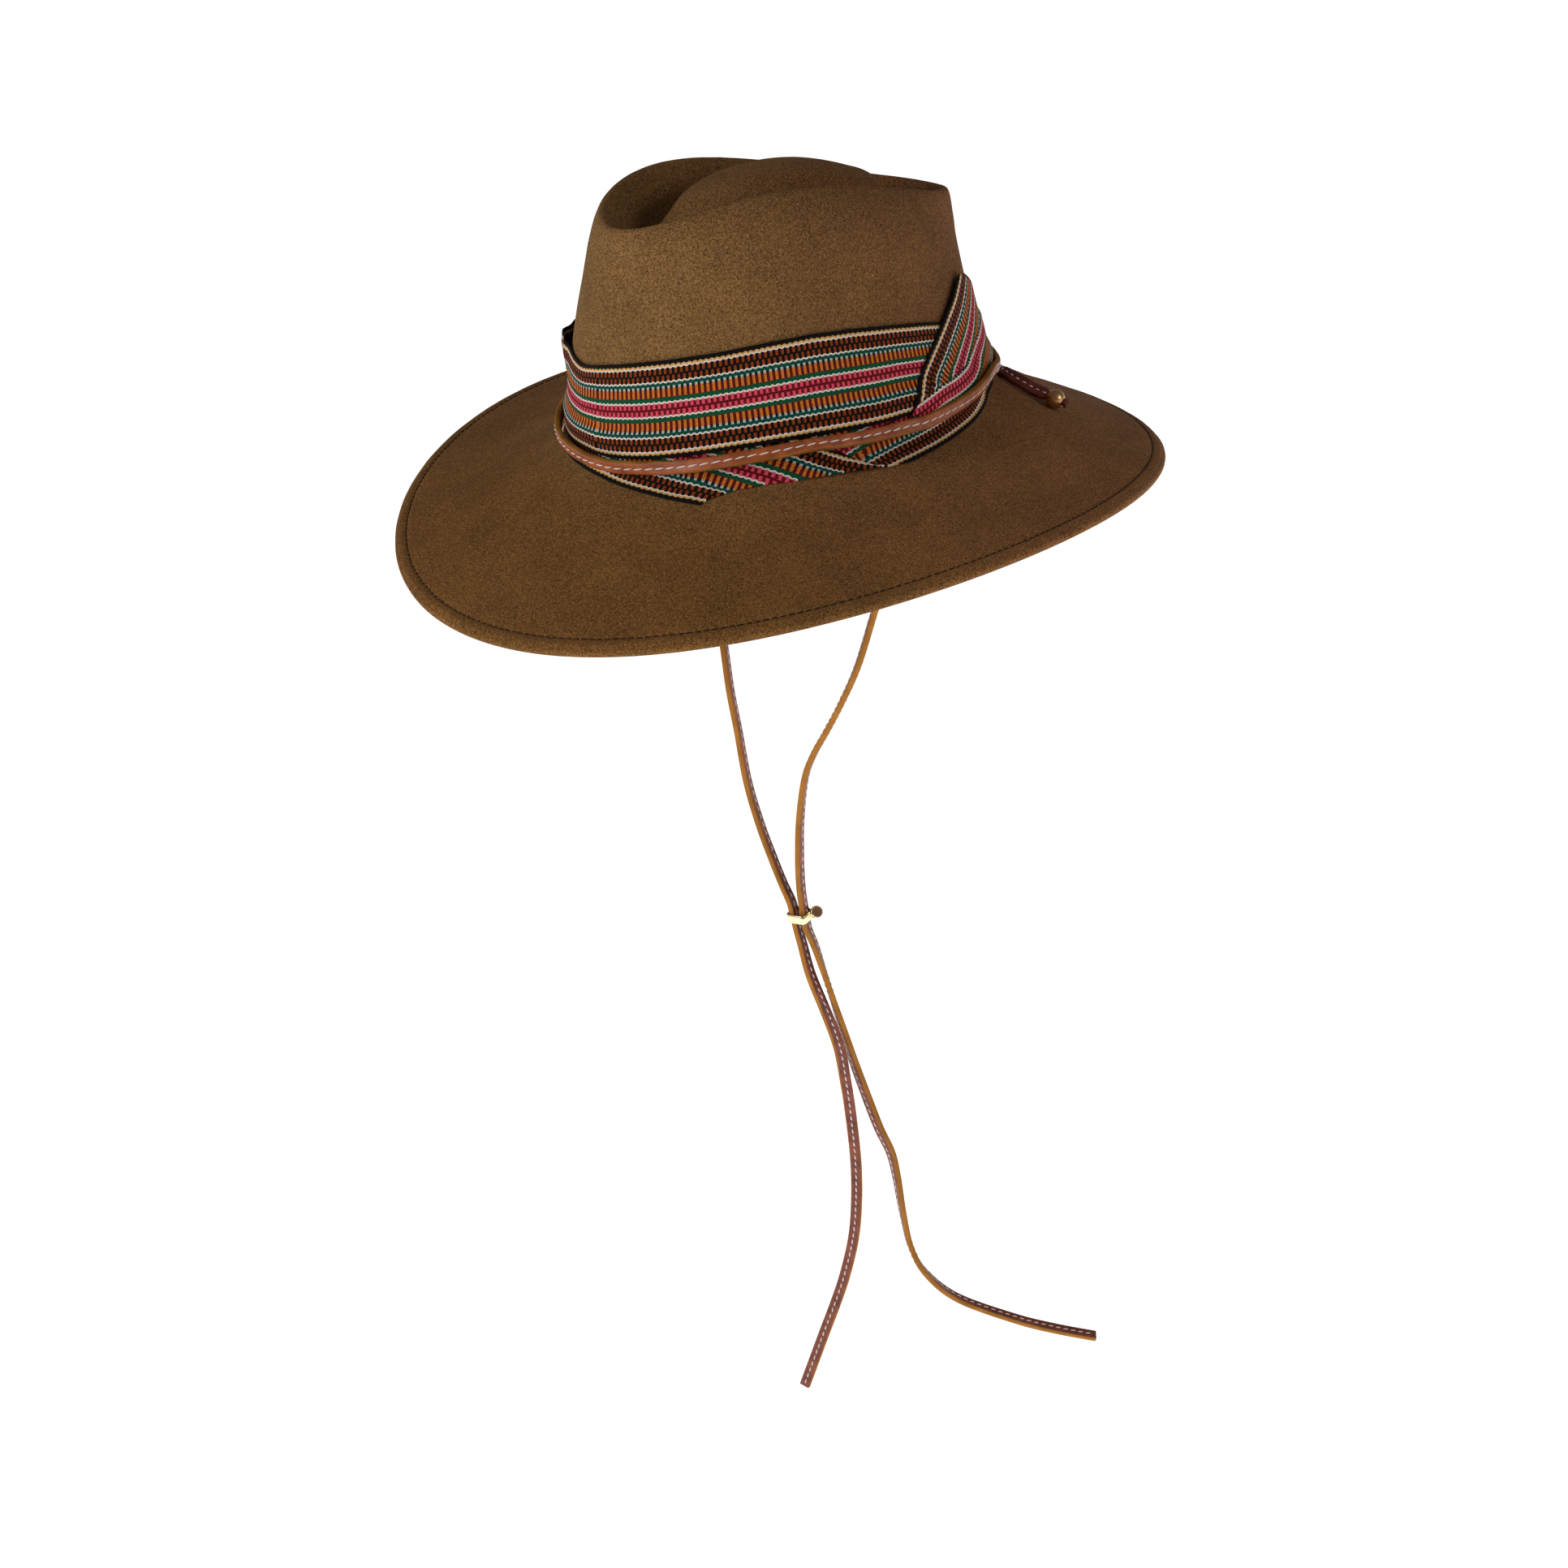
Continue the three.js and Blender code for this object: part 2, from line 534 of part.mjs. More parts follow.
// The slide: a sleeve bent round both laces, closed by a rolled barrel on its outer corner.
function slideMesh(material) {
  const { across: clear, wide: deep, corner } = SLIDE_BORE;
  const grow = 2 * SLIDE_WALL;
  const outline = roundedRectangle(new THREE.Shape(), clear + grow, deep + grow, corner + SLIDE_WALL);
  outline.holes.push(roundedRectangle(new THREE.Path(), clear, deep, corner));
  const sleeve = new THREE.ExtrudeGeometry(outline, {
    depth: SLIDE_HEIGHT,
    bevelEnabled: false,
    curveSegments: CORNER_SEGMENTS,
  });
  sleeve.translate(0, 0, -SLIDE_HEIGHT / 2);
  const { radius, length, sunk, forward } = BARREL;
  const barrel = new THREE.CylinderGeometry(radius, radius, length, TURNED_SEGMENTS);
  barrel.translate(clear / 2 + SLIDE_WALL + radius - sunk, forward - deep / 2, 0);
  const mesh = new THREE.Mesh(fromSolid(toSolid(sleeve).add(toSolid(barrel))), material);

  const left = LEFT_ROUTE.map((row) => new THREE.Vector3(...row.at));
  const right = RIGHT_ROUTE.map((row) => new THREE.Vector3(...row.at));
  const along = left[SLIDE_AT - 1].clone().sub(left[SLIDE_AT + 1]).normalize();
  const across = new THREE.Vector3(...LEFT_ROUTE[SLIDE_AT].face);
  across.addScaledVector(along, -across.dot(along)).normalize();
  const wide = along.clone().cross(across);
  mesh.quaternion.setFromRotationMatrix(new THREE.Matrix4().makeBasis(across, wide, along));
  mesh.position.copy(left[SLIDE_AT]).add(right[SLIDE_AT]).multiplyScalar(0.5);
  return mesh;
}

const felt = new THREE.MeshStandardMaterial({ color: 0x5a4024, roughness: 0.95, metalness: 0 });
const weave = new THREE.MeshStandardMaterial({ color: 0x7a2c24, roughness: 0.85, metalness: 0 });
const saddle = new THREE.MeshStandardMaterial({ color: 0x8a4a22, roughness: 0.55, metalness: 0 });
const darkLeather = new THREE.MeshStandardMaterial({ color: 0x4a2118, roughness: 0.5, metalness: 0 });
const brass = new THREE.MeshStandardMaterial({ color: 0xc79a4b, roughness: 0.2, metalness: 1 });

const hat = new THREE.Group();

function add(name, mesh) {
  mesh.name = name;
  hat.add(mesh);
}

add("felt_body", new THREE.Mesh(feltGeometry(), felt));
add("band_lower_wrap", new THREE.Mesh(lowerWrapGeometry(), weave));
add("band_upper_wrap", new THREE.Mesh(upperWrapGeometry(), weave));
add("band_side_fold", new THREE.Mesh(sideFoldGeometry(), weave));
add("band_far_fold", new THREE.Mesh(farFoldGeometry(), weave));
add("leather_band", new THREE.Mesh(leatherBandGeometry(), saddle));
add("band_tail", new THREE.Mesh(freeLaceGeometry(TAIL_ROUTE), darkLeather));
add("tail_bead", beadMesh(brass));
add("chin_lace_left", new THREE.Mesh(freeLaceGeometry(LEFT_ROUTE), darkLeather));
add("chin_lace_right", new THREE.Mesh(freeLaceGeometry(RIGHT_ROUTE), darkLeather));
add("lace_slide", slideMesh(brass));

export default hat;
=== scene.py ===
"""A wide-brimmed felt bush hat with a pinched crown, a striped woven band folded round it, a
stitched leather lace with a brass bead, and two chin laces that hang through a brass slide.

Shapes are worked out in millimetres and turned into metres when a mesh is made. The hat looks
along -Y, the wearer's left is +X, and the origin is the middle of the head opening. Angles go
round the crown from the front towards the wearer's left.
"""

import math

import bmesh
import bpy
import numpy as np
from mathutils import Matrix, Vector, noise


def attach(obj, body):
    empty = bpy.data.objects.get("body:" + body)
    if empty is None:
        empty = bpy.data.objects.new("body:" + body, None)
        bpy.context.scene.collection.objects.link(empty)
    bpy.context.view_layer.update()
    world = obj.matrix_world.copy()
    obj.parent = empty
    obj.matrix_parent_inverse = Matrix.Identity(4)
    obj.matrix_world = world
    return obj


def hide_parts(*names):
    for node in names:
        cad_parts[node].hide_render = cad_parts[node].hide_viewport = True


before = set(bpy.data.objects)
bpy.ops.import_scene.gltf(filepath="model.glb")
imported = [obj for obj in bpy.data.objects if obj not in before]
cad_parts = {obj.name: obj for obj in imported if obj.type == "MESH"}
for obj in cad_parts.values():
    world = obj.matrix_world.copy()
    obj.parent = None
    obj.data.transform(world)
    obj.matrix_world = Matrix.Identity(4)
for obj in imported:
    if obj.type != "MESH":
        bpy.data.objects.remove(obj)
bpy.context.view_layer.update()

MM = 0.001

# The camera: a long lens from the wearer's left front, a little above, turned about its own
# axis. Its aim is how far its axis passes from the origin, to the right and up.
VIEW_TURN = math.radians(52)
VIEW_ELEVATION = math.radians(28.5)
VIEW_ROLL = math.radians(4.2)
VIEW_AIM = (-10.7, -174.5)
VIEW_DISTANCE = 1300
LENS_MM = 64.92
SENSOR_MM = 36
LEVEL = math.cos(VIEW_ELEVATION)
BACK = np.array(
    [math.sin(VIEW_TURN) * LEVEL, -math.cos(VIEW_TURN) * LEVEL, math.sin(VIEW_ELEVATION)]
)

# Sections of the felt from the middle of the crown to the edge of the brim: half width, reach to
# the front and back, heights at the front, side and back, taper of the front, dip of both ends.
SECTIONS = {
    "island top": (1, -6, 8, 112, 112, 112, 0, 0),
    "island crown": (10, 24, 26, 112, 112, 109, 0.1, 0),
    "island side": (18, 43, 45, 108, 108, 102, 0.1, 0),
    "groove slope": (24, 54, 60, 98, 101, 94, 0.05, 0),
    "groove floor": (31, 66, 73, 88, 92, 76, 0, 0),
    "groove wall": (38, 75, 85, 92, 98, 75, -0.04, -1),
    "crest inside": (42.5, 79.5, 94, 101, 105, 79, -0.06, -2),
    "crest": (46, 82, 99, 103.8, 107, 80.3, -0.06, -2.5),
    "crest outside": (50, 84.5, 100.5, 102.5, 105.5, 78, -0.05, -2),
    "shoulder": (57.5, 87, 99, 94, 97.5, 68, -0.03, -1),
    "high wall": (66, 91, 96.5, 76, 81, 56, 0, 0),
    "middle wall": (76, 97.5, 98, 46, 48, 36, 0, 0),
    "low wall": (82.8, 100.8, 100.8, 18, 20, 15, 0, 0),
    "crease top": (84, 101.5, 101.5, 6, 6, 6, 0, 0),
    "crease": (87, 104.5, 104.5, 0, 0, 0, 0, 0),
    "brim root": (96, 113, 113, -6, -5, -6, 0, 0),
    "inner brim": (115, 134, 133, -17, -12, -17, 0, 0),
    "middle brim": (137, 158.5, 156, -28.6, -17.4, -30.6, 0, 0),
    "hem": (160, 182.5, 180.5, -41.8, -21.7, -43.2, 0, 0),
    "brim edge": (165, 187.5, 186, -45.5, -22.7, -47, 0, 0),
}
SECTION_NAMES = list(SECTIONS)
SECTION_TABLE = np.array(list(SECTIONS.values()), float)
LAST = len(SECTIONS) - 1
CREASE = SECTION_NAMES.index("crease")
CREST_OUTSIDE = SECTION_NAMES.index("crest outside")
HEM = SECTION_NAMES.index("hem")
LEAN_HEIGHT, LEAN_HALF, LEAN_RISE = 105, 46, 2
DENT = {"at": (62.5, -62, 66), "radius": 24, "depth": 1.3}

# Thicknesses in mm. A layer is the cloth with the gap under it, as the solids have them.
FELT_THICKNESS = 2.2
HEM_THICKNESS = 4.2
EDGE_REACH = 1.9
GAP = 0.35
LAYER = 1.45
CLOTH = 0.95
OVAL_HALF, OVAL_LONG = 84, 101.5

# Heights round the crown, in mm above the crease, as (angle, height).
UPPER_TOP = [
    (0, 46.4), (8.6, 48.9), (21, 52.2), (34, 54.9), (46, 56.7), (57, 58.2), (68, 58.9),
    (80, 57.1), (92, 53.5), (104, 48.9), (113.5, 44.2), (130, 41), (150, 40), (180, 40),
    (210, 43), (240, 48), (270, 51), (300, 50), (325, 46), (340, 43.4), (351, 43.4),
]
UPPER_BOTTOM = [
    (2, 7.3), (12, 9.3), (20, 11), (32, 14.1), (43, 16.4), (54, 17.6), (64, 17.9), (73, 17.4),
    (82, 16.2), (93, 15.4), (105, 12), (120, 9), (150, 4.5), (180, 2.5), (210, 4), (240, 8),
    (270, 11), (300, 9), (330, 6), (345, 6.5), (355, 7.5),
]
LACE_HEIGHT = [
    (0, 3.8), (10, 4.6), (23, 7.7), (35, 10.9), (47, 13.6), (63, 15.4), (80, 13.1), (94, 11.5),
    (109, 11.2), (122, 12.3), (131, 13.5), (140, 9), (150, 4.4), (165, 2.4), (180, 1.5),
    (210, 3), (240, 6), (270, 8.5), (300, 6), (330, 4), (345, 4),
]

# How far the crown lace's face is tipped up from the felt's own slope, as (angle, degrees).
LACE_TILT = [
    (0, -24), (12, -22), (20, -8), (28, 16), (38, 34), (50, 39), (80, 37), (94, 24), (106, -2),
    (118, -18), (135, -14), (160, 0), (200, 0), (330, -12), (350, -22),
]

# Edges of the woven pieces on the unrolled crown: (arc from the front, height), both in mm.
LEFT_SELVEDGE = [
    (-120, -2.5), (-60, -2.5), (-40, -3), (-26, -1.6), (-11, -1.8), (4, -2.6), (19, -4.4),
    (31, -5.8), (42, -7.7), (51, -9.4), (64, -14), (76, -19.3), (92, -28.5), (112, -40),
    (140, -58),
]
LEFT_BOTTOM = LEFT_SELVEDGE[:10] + [
    (53.8, -10), (56.4, -6.9), (66.9, -2.3), (81.7, -0.6), (98.7, -1.1), (116.4, -2.3),
    (131.2, -5),
]
LEFT_TOP = [
    (70, 29), (80, 24), (92, 18), (104.9, 11), (113.8, 6.9), (121.9, 1.2), (127.2, -3.5),
    (131.2, -4.6),
]
BACK_SELVEDGE = [
    (105, -18), (124.7, -10), (131.4, -8.1), (143.9, -6.2), (158.5, -5.1), (177, -4),
    (193.8, -3.1), (212.5, -1), (219, 0), (240, -1), (290, -2), (490, -2.5),
]
BACK_BOTTOM = [
    (96, 1), (116, -1), (128, -3.5), (132, -4.7), (144, -6.2),
] + BACK_SELVEDGE[4:]
SIDE_TOP = [
    (150.5, 15.8), (154.5, 20.8), (156.9, 25.3), (160.1, 28.8), (163, 31.8), (170.1, 36.9),
    (177.5, 41.5), (184.5, 45.3), (191, 48.6), (198.9, 52.4), (206.5, 56.2), (212, 57.4),
    (218, 55.5), (225, 51), (233, 46.5), (245, 43.5), (285, 42), (350, 41),
]
SIDE_SELVEDGE = SIDE_TOP[:11] + [
    (218, 62.4), (229, 66.5), (241, 65), (255, 58), (275, 49), (300, 44), (350, 41.5),
]
SIDE_BOTTOM = [
    (150.5, 14.8), (155.6, 12.5), (166, 11.5), (188, 9.5), (218, 6), (238, 4), (285, 1.5),
    (350, 3),
]
STRIP_TOP = [
    (150, 16), (153.5, 18.2), (165.1, 20.6), (170.6, 21.5), (178.8, 21.5), (188.1, 21.9),
    (196.4, 22.6), (203, 24.5), (215, 28), (240, 30), (290, 28), (350, 26),
]
STRIP_CENTRE = [
    (140, 13), (153.5, 15), (165, 17), (171, 17.8), (179, 17.8), (188, 18.2), (196.4, 19),
    (203, 21), (215, 24.4), (240, 26.5), (290, 24.5), (350, 22.5),
]
FAR_TOP = [(398, 46), (441, 49), (490, 47), (509, 44.5), (526, 41)]
FAR_BOTTOM = [(398, 24), (441, 24), (490, 24), (509, 25), (526, 27)]

# Routes of the laces, as in the frame. The fourth number says how far the stitched face is
# turned from the viewer, in degrees.
LEFT_ROUTE = [
    (78.6, 8, 16, 38), (79.3, 8, 8, 38), (79.4, 8, -1, 38), (78.2, 7.6, -15, 45),
    (74.8, 6.4, -32, 65), (68.6, 5, -56, 90), (56, 3.3, -88.1, 98), (45.9, -0.4, -118.6, 98),
    (34.2, -1.8, -141.4, 92), (22.5, -2.5, -160.6, 87), (12.1, -3.5, -177.3, 82),
    (5.2, -4.4, -193, 76), (1.3, -6.1, -216.9, 67), (0.5, -7.6, -239.3, 61),
    (0.6, -8.1, -254.5, 59), (1.5, -8.2, -263.9, 58), (2.2, -7.9, -271.4, 58),
    (3, -7.4, -278.9, 60), (4.4, -4.3, -290.9, 68), (5.9, -1, -307.2, 83),
    (7.2, 4.6, -332.8, 105), (10.9, 10.2, -363.5, 124), (15.3, 14.2, -386.7, 130),
    (20.4, 16.9, -405.2, 130), (23.8, 21.1, -421.4, 126), (25.2, 23.1, -437.6, 118),
    (26.5, 24.9, -461.8, 105), (28.7, 27.5, -484.8, 95), (33.2, 33.2, -503, 80),
    (43.5, 46.2, -521.5, 66), (63, 69.8, -538, 56), (76.8, 87.1, -547, 50),
    (90.6, 104.6, -554.3, 48),
]
RIGHT_ROUTE = [
    (-78.6, 8, 16, 38), (-79.3, 8, 8, 38), (-79.4, 8, -1, 40), (-78.6, 7.6, -15, 45),
    (-76.6, 6.4, -36, 55), (-73.2, 4.9, -64, 65), (-67.8, 2.8, -98, 70), (-61.5, 0.6, -123, 70),
    (-55.8, -1.4, -141.2, 70), (-50, -4.1, -163.1, 69), (-44.3, -5.5, -183.4, 68),
    (-38, -7, -208.9, 65), (-29.8, -7.6, -229.9, 62), (-19.7, -8.8, -245.9, 60),
    (-10.6, -10.7, -255.8, 59), (-4.5, -10.9, -264.3, 54), (-2.8, -10.7, -271.3, 54),
    (-1.8, -10.2, -278.3, 54), (-0.4, -8.8, -289.8, 50), (2, -6.7, -307.7, 44),
    (7.6, -2, -332.4, 32), (10.6, 1.6, -351.9, 18), (11.9, 3.3, -372.7, 8), (12.2, 5, -393.5, 0),
    (12.3, 6.4, -425, -8), (11.6, 5.7, -451.6, -12), (9.9, 3.4, -475.7, -14),
    (6.3, -1.2, -499.9, -15), (2.5, -6.1, -518.9, -15), (-1.8, -11.6, -538, -15),
    (-9.9, -22, -574.7, -16),
]
TAIL_ROUTE = [
    (18.6, 108.3, -4.1, 70), (28.2, 105.6, -3.3, 48), (35.7, 103.2, -3, 30),
    (42, 100.8, -2.6, 20), (47.7, 100.1, -3, 14), (52.2, 99.9, -3.9, 12),
    (57, 100.9, -5.4, 12), (61.7, 102.6, -7.6, 14), (66.3, 103.9, -8.8, 16),
    (68.7, 105.1, -10, 18), (71.9, 106.3, -11, 20), (75, 107.5, -11.9, 20),
    (77.3, 108.4, -12.6, 20),
]
BEAD_AT = 10
SLIDE_AT = 16


# Camera, lights and floor. Places and sizes are in metres, powers in watts.

# Each light's place, size, power and colour.
LIGHTS = {
    "key": ((-0.25, -1.75, 0.75), 0.9, 15.5, (1, 0.98, 0.95)),
    "side": ((1.6, 0.6, 0.8), 0.6, 6.5, (1, 0.95, 0.92)),
}
WORLD_STRENGTH = 0.14
FLOOR_HEIGHT = -0.62
FLOOR_HALF = 15
FLOOR_WHITE = (0.9, 0.9, 0.9, 1)
FLOOR_GLOW = 0.95


def add_object(name, data):
    thing = bpy.data.objects.new(name, data)
    bpy.context.scene.collection.objects.link(thing)
    return thing


def stood_at(place, *axes):
    """The matrix that stands a thing at a place with its x, y and z along three ways."""
    return Matrix.Translation(Vector(place)) @ Matrix(axes).transposed().to_4x4()


def add_camera():
    """The photograph's view: everything else is placed in the hat's own frame."""
    back = Vector(BACK)
    right = Vector((math.cos(VIEW_TURN), math.sin(VIEW_TURN), 0))
    up = back.cross(right)
    place = (right * VIEW_AIM[0] + up * VIEW_AIM[1] + back * VIEW_DISTANCE) * MM
    x_axis = math.cos(VIEW_ROLL) * right - math.sin(VIEW_ROLL) * up
    y_axis = math.sin(VIEW_ROLL) * right + math.cos(VIEW_ROLL) * up
    data = bpy.data.cameras.new("camera")
    data.lens = LENS_MM
    data.sensor_width = SENSOR_MM
    camera = add_object("camera", data)
    camera.matrix_world = stood_at(place, x_axis, y_axis, back)
    bpy.context.scene.camera = camera


def add_area_light(name, place, size, power, colour):
    """A round light that looks at the hat."""
    data = bpy.data.lights.new(name, "AREA")
    data.shape = "DISK"
    data.size = size
    data.energy = power
    data.color = colour
    light = add_object(name, data)
    light.location = place
    light.rotation_euler = (-Vector(place)).to_track_quat("-Z", "Y").to_euler()


def add_lights():
    """A soft low key in front of the hat, a weaker light beside it, and little from all round."""
    for name, settings in LIGHTS.items():
        add_area_light(name, *settings)
    world = bpy.data.worlds.new("studio")
    world.use_nodes = True
    background = world.node_tree.nodes["Background"]
    background.inputs["Color"].default_value = (1, 1, 1, 1)
    background.inputs["Strength"].default_value = WORLD_STRENGTH
    bpy.context.scene.world = world
    bpy.context.scene.view_settings.view_transform = "Standard"


def add_floor():
    """A glowing white floor far below the hat."""
    corners = [(-1, -1), (1, -1), (1, 1), (-1, 1)]
    mesh = bpy.data.meshes.new("floor")
    mesh.from_pydata(
        [(x * FLOOR_HALF, y * FLOOR_HALF, FLOOR_HEIGHT) for x, y in corners], [], [(0, 1, 2, 3)]
    )
    floor = add_object("floor", mesh)
    tree = Nodes("floor_white")
    tree.set(base=FLOOR_WHITE, roughness=0.9)
    tree.shader.inputs["Emission Color"].default_value = (1, 1, 1, 1)
    tree.shader.inputs["Emission Strength"].default_value = FLOOR_GLOW
    mesh.materials.append(tree.material)


# Material nodes

def linear(*screen):
    """A colour given as screen values from 0 to 255, as the shader needs it."""
    parts = [value / 255 for value in screen]
    return (*(p / 12.92 if p <= 0.04045 else ((p + 0.055) / 1.055) ** 2.4 for p in parts), 1)


class Nodes:
    """A short way to write a material's nodes."""

    def __init__(self, name):
        self.material = bpy.data.materials.new(name)
        self.material.use_nodes = True
        self.tree = self.material.node_tree
        self.shader = self.tree.nodes["Principled BSDF"]
        self.place = self.new("ShaderNodeTexCoord", {}).outputs["Object"]

    def new(self, kind, inputs, **settings):
        """A node, with values or other nodes' outputs for its inputs by name or number."""
        node = self.tree.nodes.new(kind)
        for key, value in settings.items():
            setattr(node, key, value)
        for key, value in inputs.items():
            self.feed(node.inputs[key], value)
        return node

    def feed(self, socket, value):
        if isinstance(value, bpy.types.NodeSocket):
            self.tree.links.new(value, socket)
        elif value is not None:
            socket.default_value = value

    def math(self, operation, a, b=None, c=None, clamp=False):
        inputs = {0: a, 1: b, 2: c}
        node = self.new("ShaderNodeMath", inputs, operation=operation, use_clamp=clamp)
        return node.outputs[0]

    def wave(self, kind, value, pitch):
        return self.math(kind, self.math("MULTIPLY", value, 2 * math.pi / pitch))

    def mix(self, factor, a, b, blend="MIX"):
        inputs = {"Factor": factor, "A": a, "B": b}
        node = self.new("ShaderNodeMix", inputs, data_type="RGBA", blend_type=blend)
        return next(out for out in node.outputs if out.type == "RGBA")

    def ramp(self, value, stops, smooth=False):
        node = self.new("ShaderNodeValToRGB", {0: value})
        node.color_ramp.interpolation = "LINEAR" if smooth else "CONSTANT"
        elements = node.color_ramp.elements
        while len(elements) > 1:
            elements.remove(elements[-1])
        for i, (at, colour) in enumerate(stops):
            element = elements[0] if i == 0 else elements.new(at)
            element.position = at
            element.color = colour
        return node.outputs["Color"]

    def grey(self, value, stops):
        return self.ramp(value, [(at, (level, level, level, 1)) for at, level in stops], True)

    def noise(self, scale, detail=3, roughness=0.5):
        inputs = {
            "Vector": self.place, "Scale": scale, "Detail": detail, "Roughness": roughness
        }
        return self.new("ShaderNodeTexNoise", inputs).outputs[0]

    def bump(self, height, distance, strength=1.0, after=None):
        inputs = {"Height": height, "Distance": distance, "Strength": strength, "Normal": after}
        return self.new("ShaderNodeBump", inputs).outputs[0]

    def set(self, base, roughness, normal=None, metallic=None, sheen=(), specular=None):
        """Sets the shader. Sheen is its weight, roughness and tint."""
        values = {
            "Base Color": base, "Roughness": roughness, "Normal": normal, "Metallic": metallic,
            "Specular IOR Level": specular,
        }
        values.update(zip(("Sheen Weight", "Sheen Roughness", "Sheen Tint"), sheen))
        for name, value in values.items():
            self.feed(self.shader.inputs[name], value)


# Felt colours at the front and back of the crown and of the brim. These are painted light and
# shade: the crown turns darker and redder towards the back, and the brim turns lighter towards
# the back.
CROWN_FRONT_PAINTED_LIGHT, CROWN_BACK_PAINTED_SHADE = linear(118, 88, 52), linear(106, 62, 40)
BRIM_FRONT_PAINTED_SHADE, BRIM_BACK_PAINTED_LIGHT = linear(114, 77, 40), linear(134, 90, 58)
DARK_FIBRE, GOLDEN_FIBRE = linear(38, 24, 12), linear(190, 146, 84)
NAP = linear(176, 150, 120)


def felt_material():
    """Brushed wool: mottled brown with fine golden and dark fibres, and painted light and shade
    that shifts its colour from front to back and from brim to crown.
    """
    tree = Nodes("felt_brushed")
    place = tree.new("ShaderNodeSeparateXYZ", {0: tree.place})
    # Painted light and shade: the colour shifts with the place's y towards the back, and with its
    # z from brim to crown.
    painted_light_towards_back = tree.math("MULTIPLY_ADD", place.outputs["Y"], 3.4, 0.42, clamp=True)
    crown = tree.math("MULTIPLY_ADD", place.outputs["Z"], 60, 0.7, clamp=True)
    base = tree.mix(painted_light_towards_back, CROWN_FRONT_PAINTED_LIGHT, CROWN_BACK_PAINTED_SHADE)
    brim = tree.mix(painted_light_towards_back, BRIM_FRONT_PAINTED_SHADE, BRIM_BACK_PAINTED_LIGHT)
    base = tree.mix(crown, brim, base)
    cloud = tree.grey(tree.noise(30, 5, 0.6), [(0.32, 0.82), (0.68, 1.16)])
    base = tree.mix(1.0, base, cloud, "MULTIPLY")
    fine = tree.noise(1100, 3, 0.75)
    base = tree.mix(1.0, base, tree.grey(fine, [(0.34, 0.36), (0.64, 1.64)]), "MULTIPLY")
    dark = tree.noise(1500, 2, 0.6)
    base = tree.mix(tree.grey(dark, [(0.33, 0.6), (0.44, 0.0)]), base, DARK_FIBRE)
    speck = tree.noise(1900, 2, 0.6)
    base = tree.mix(tree.grey(speck, [(0.57, 0.0), (0.68, 0.7)]), base, GOLDEN_FIBRE)
    normal = tree.bump(tree.noise(260, 5, 0.7), 0.0005, 0.5)
    normal = tree.bump(fine, 0.0003, 0.7, normal)
    tree.set(base, 0.95, normal, sheen=(0.08, 0.5, NAP), specular=0.08)
    return tree.material


# Half of the band's stripes: where each starts, in mm from the middle, and the colours of its
# ticks and of the ground between them.
SEAM = linear(92, 14, 22)
BLACK = linear(12, 9, 7)
MAROON = linear(104, 22, 14)
WHITE = linear(250, 236, 222)
TEAL = linear(0, 80, 66)
GREEN = linear(4, 88, 56)
RUST = linear(162, 66, 12)
TAN = linear(232, 176, 100)
STRIPES = [
    (0.0, SEAM, SEAM),
    (0.25, linear(255, 92, 118), linear(134, 12, 30)),
    (2.65, WHITE, WHITE),
    (3.45, GREEN, GREEN),
    (5.3, linear(232, 132, 46), MAROON),
    (9.05, linear(206, 208, 206), linear(8, 30, 28)),
    (10.1, TEAL, TEAL),
    (11.6, WHITE, WHITE),
    (12.35, RUST, BLACK),
    (14.6, BLACK, BLACK),
    (15.6, RUST, BLACK),
    (17.9, WHITE, WHITE),
    (18.65, TAN, TAN),
    (19.5, BLACK, BLACK),
]
BAND_WIDTH = 42
HALF_BAND = BAND_WIDTH / 2
TICK_PITCH = 2.58
TICK_SHARE = -0.16
TICK_SHARPNESS = 2.6
BEAD_PITCH = 0.82
SCALLOP = 0.24
WAVER = 0.18
OUTER_RUST_FROM = 15.2
WEAVE = "weave"


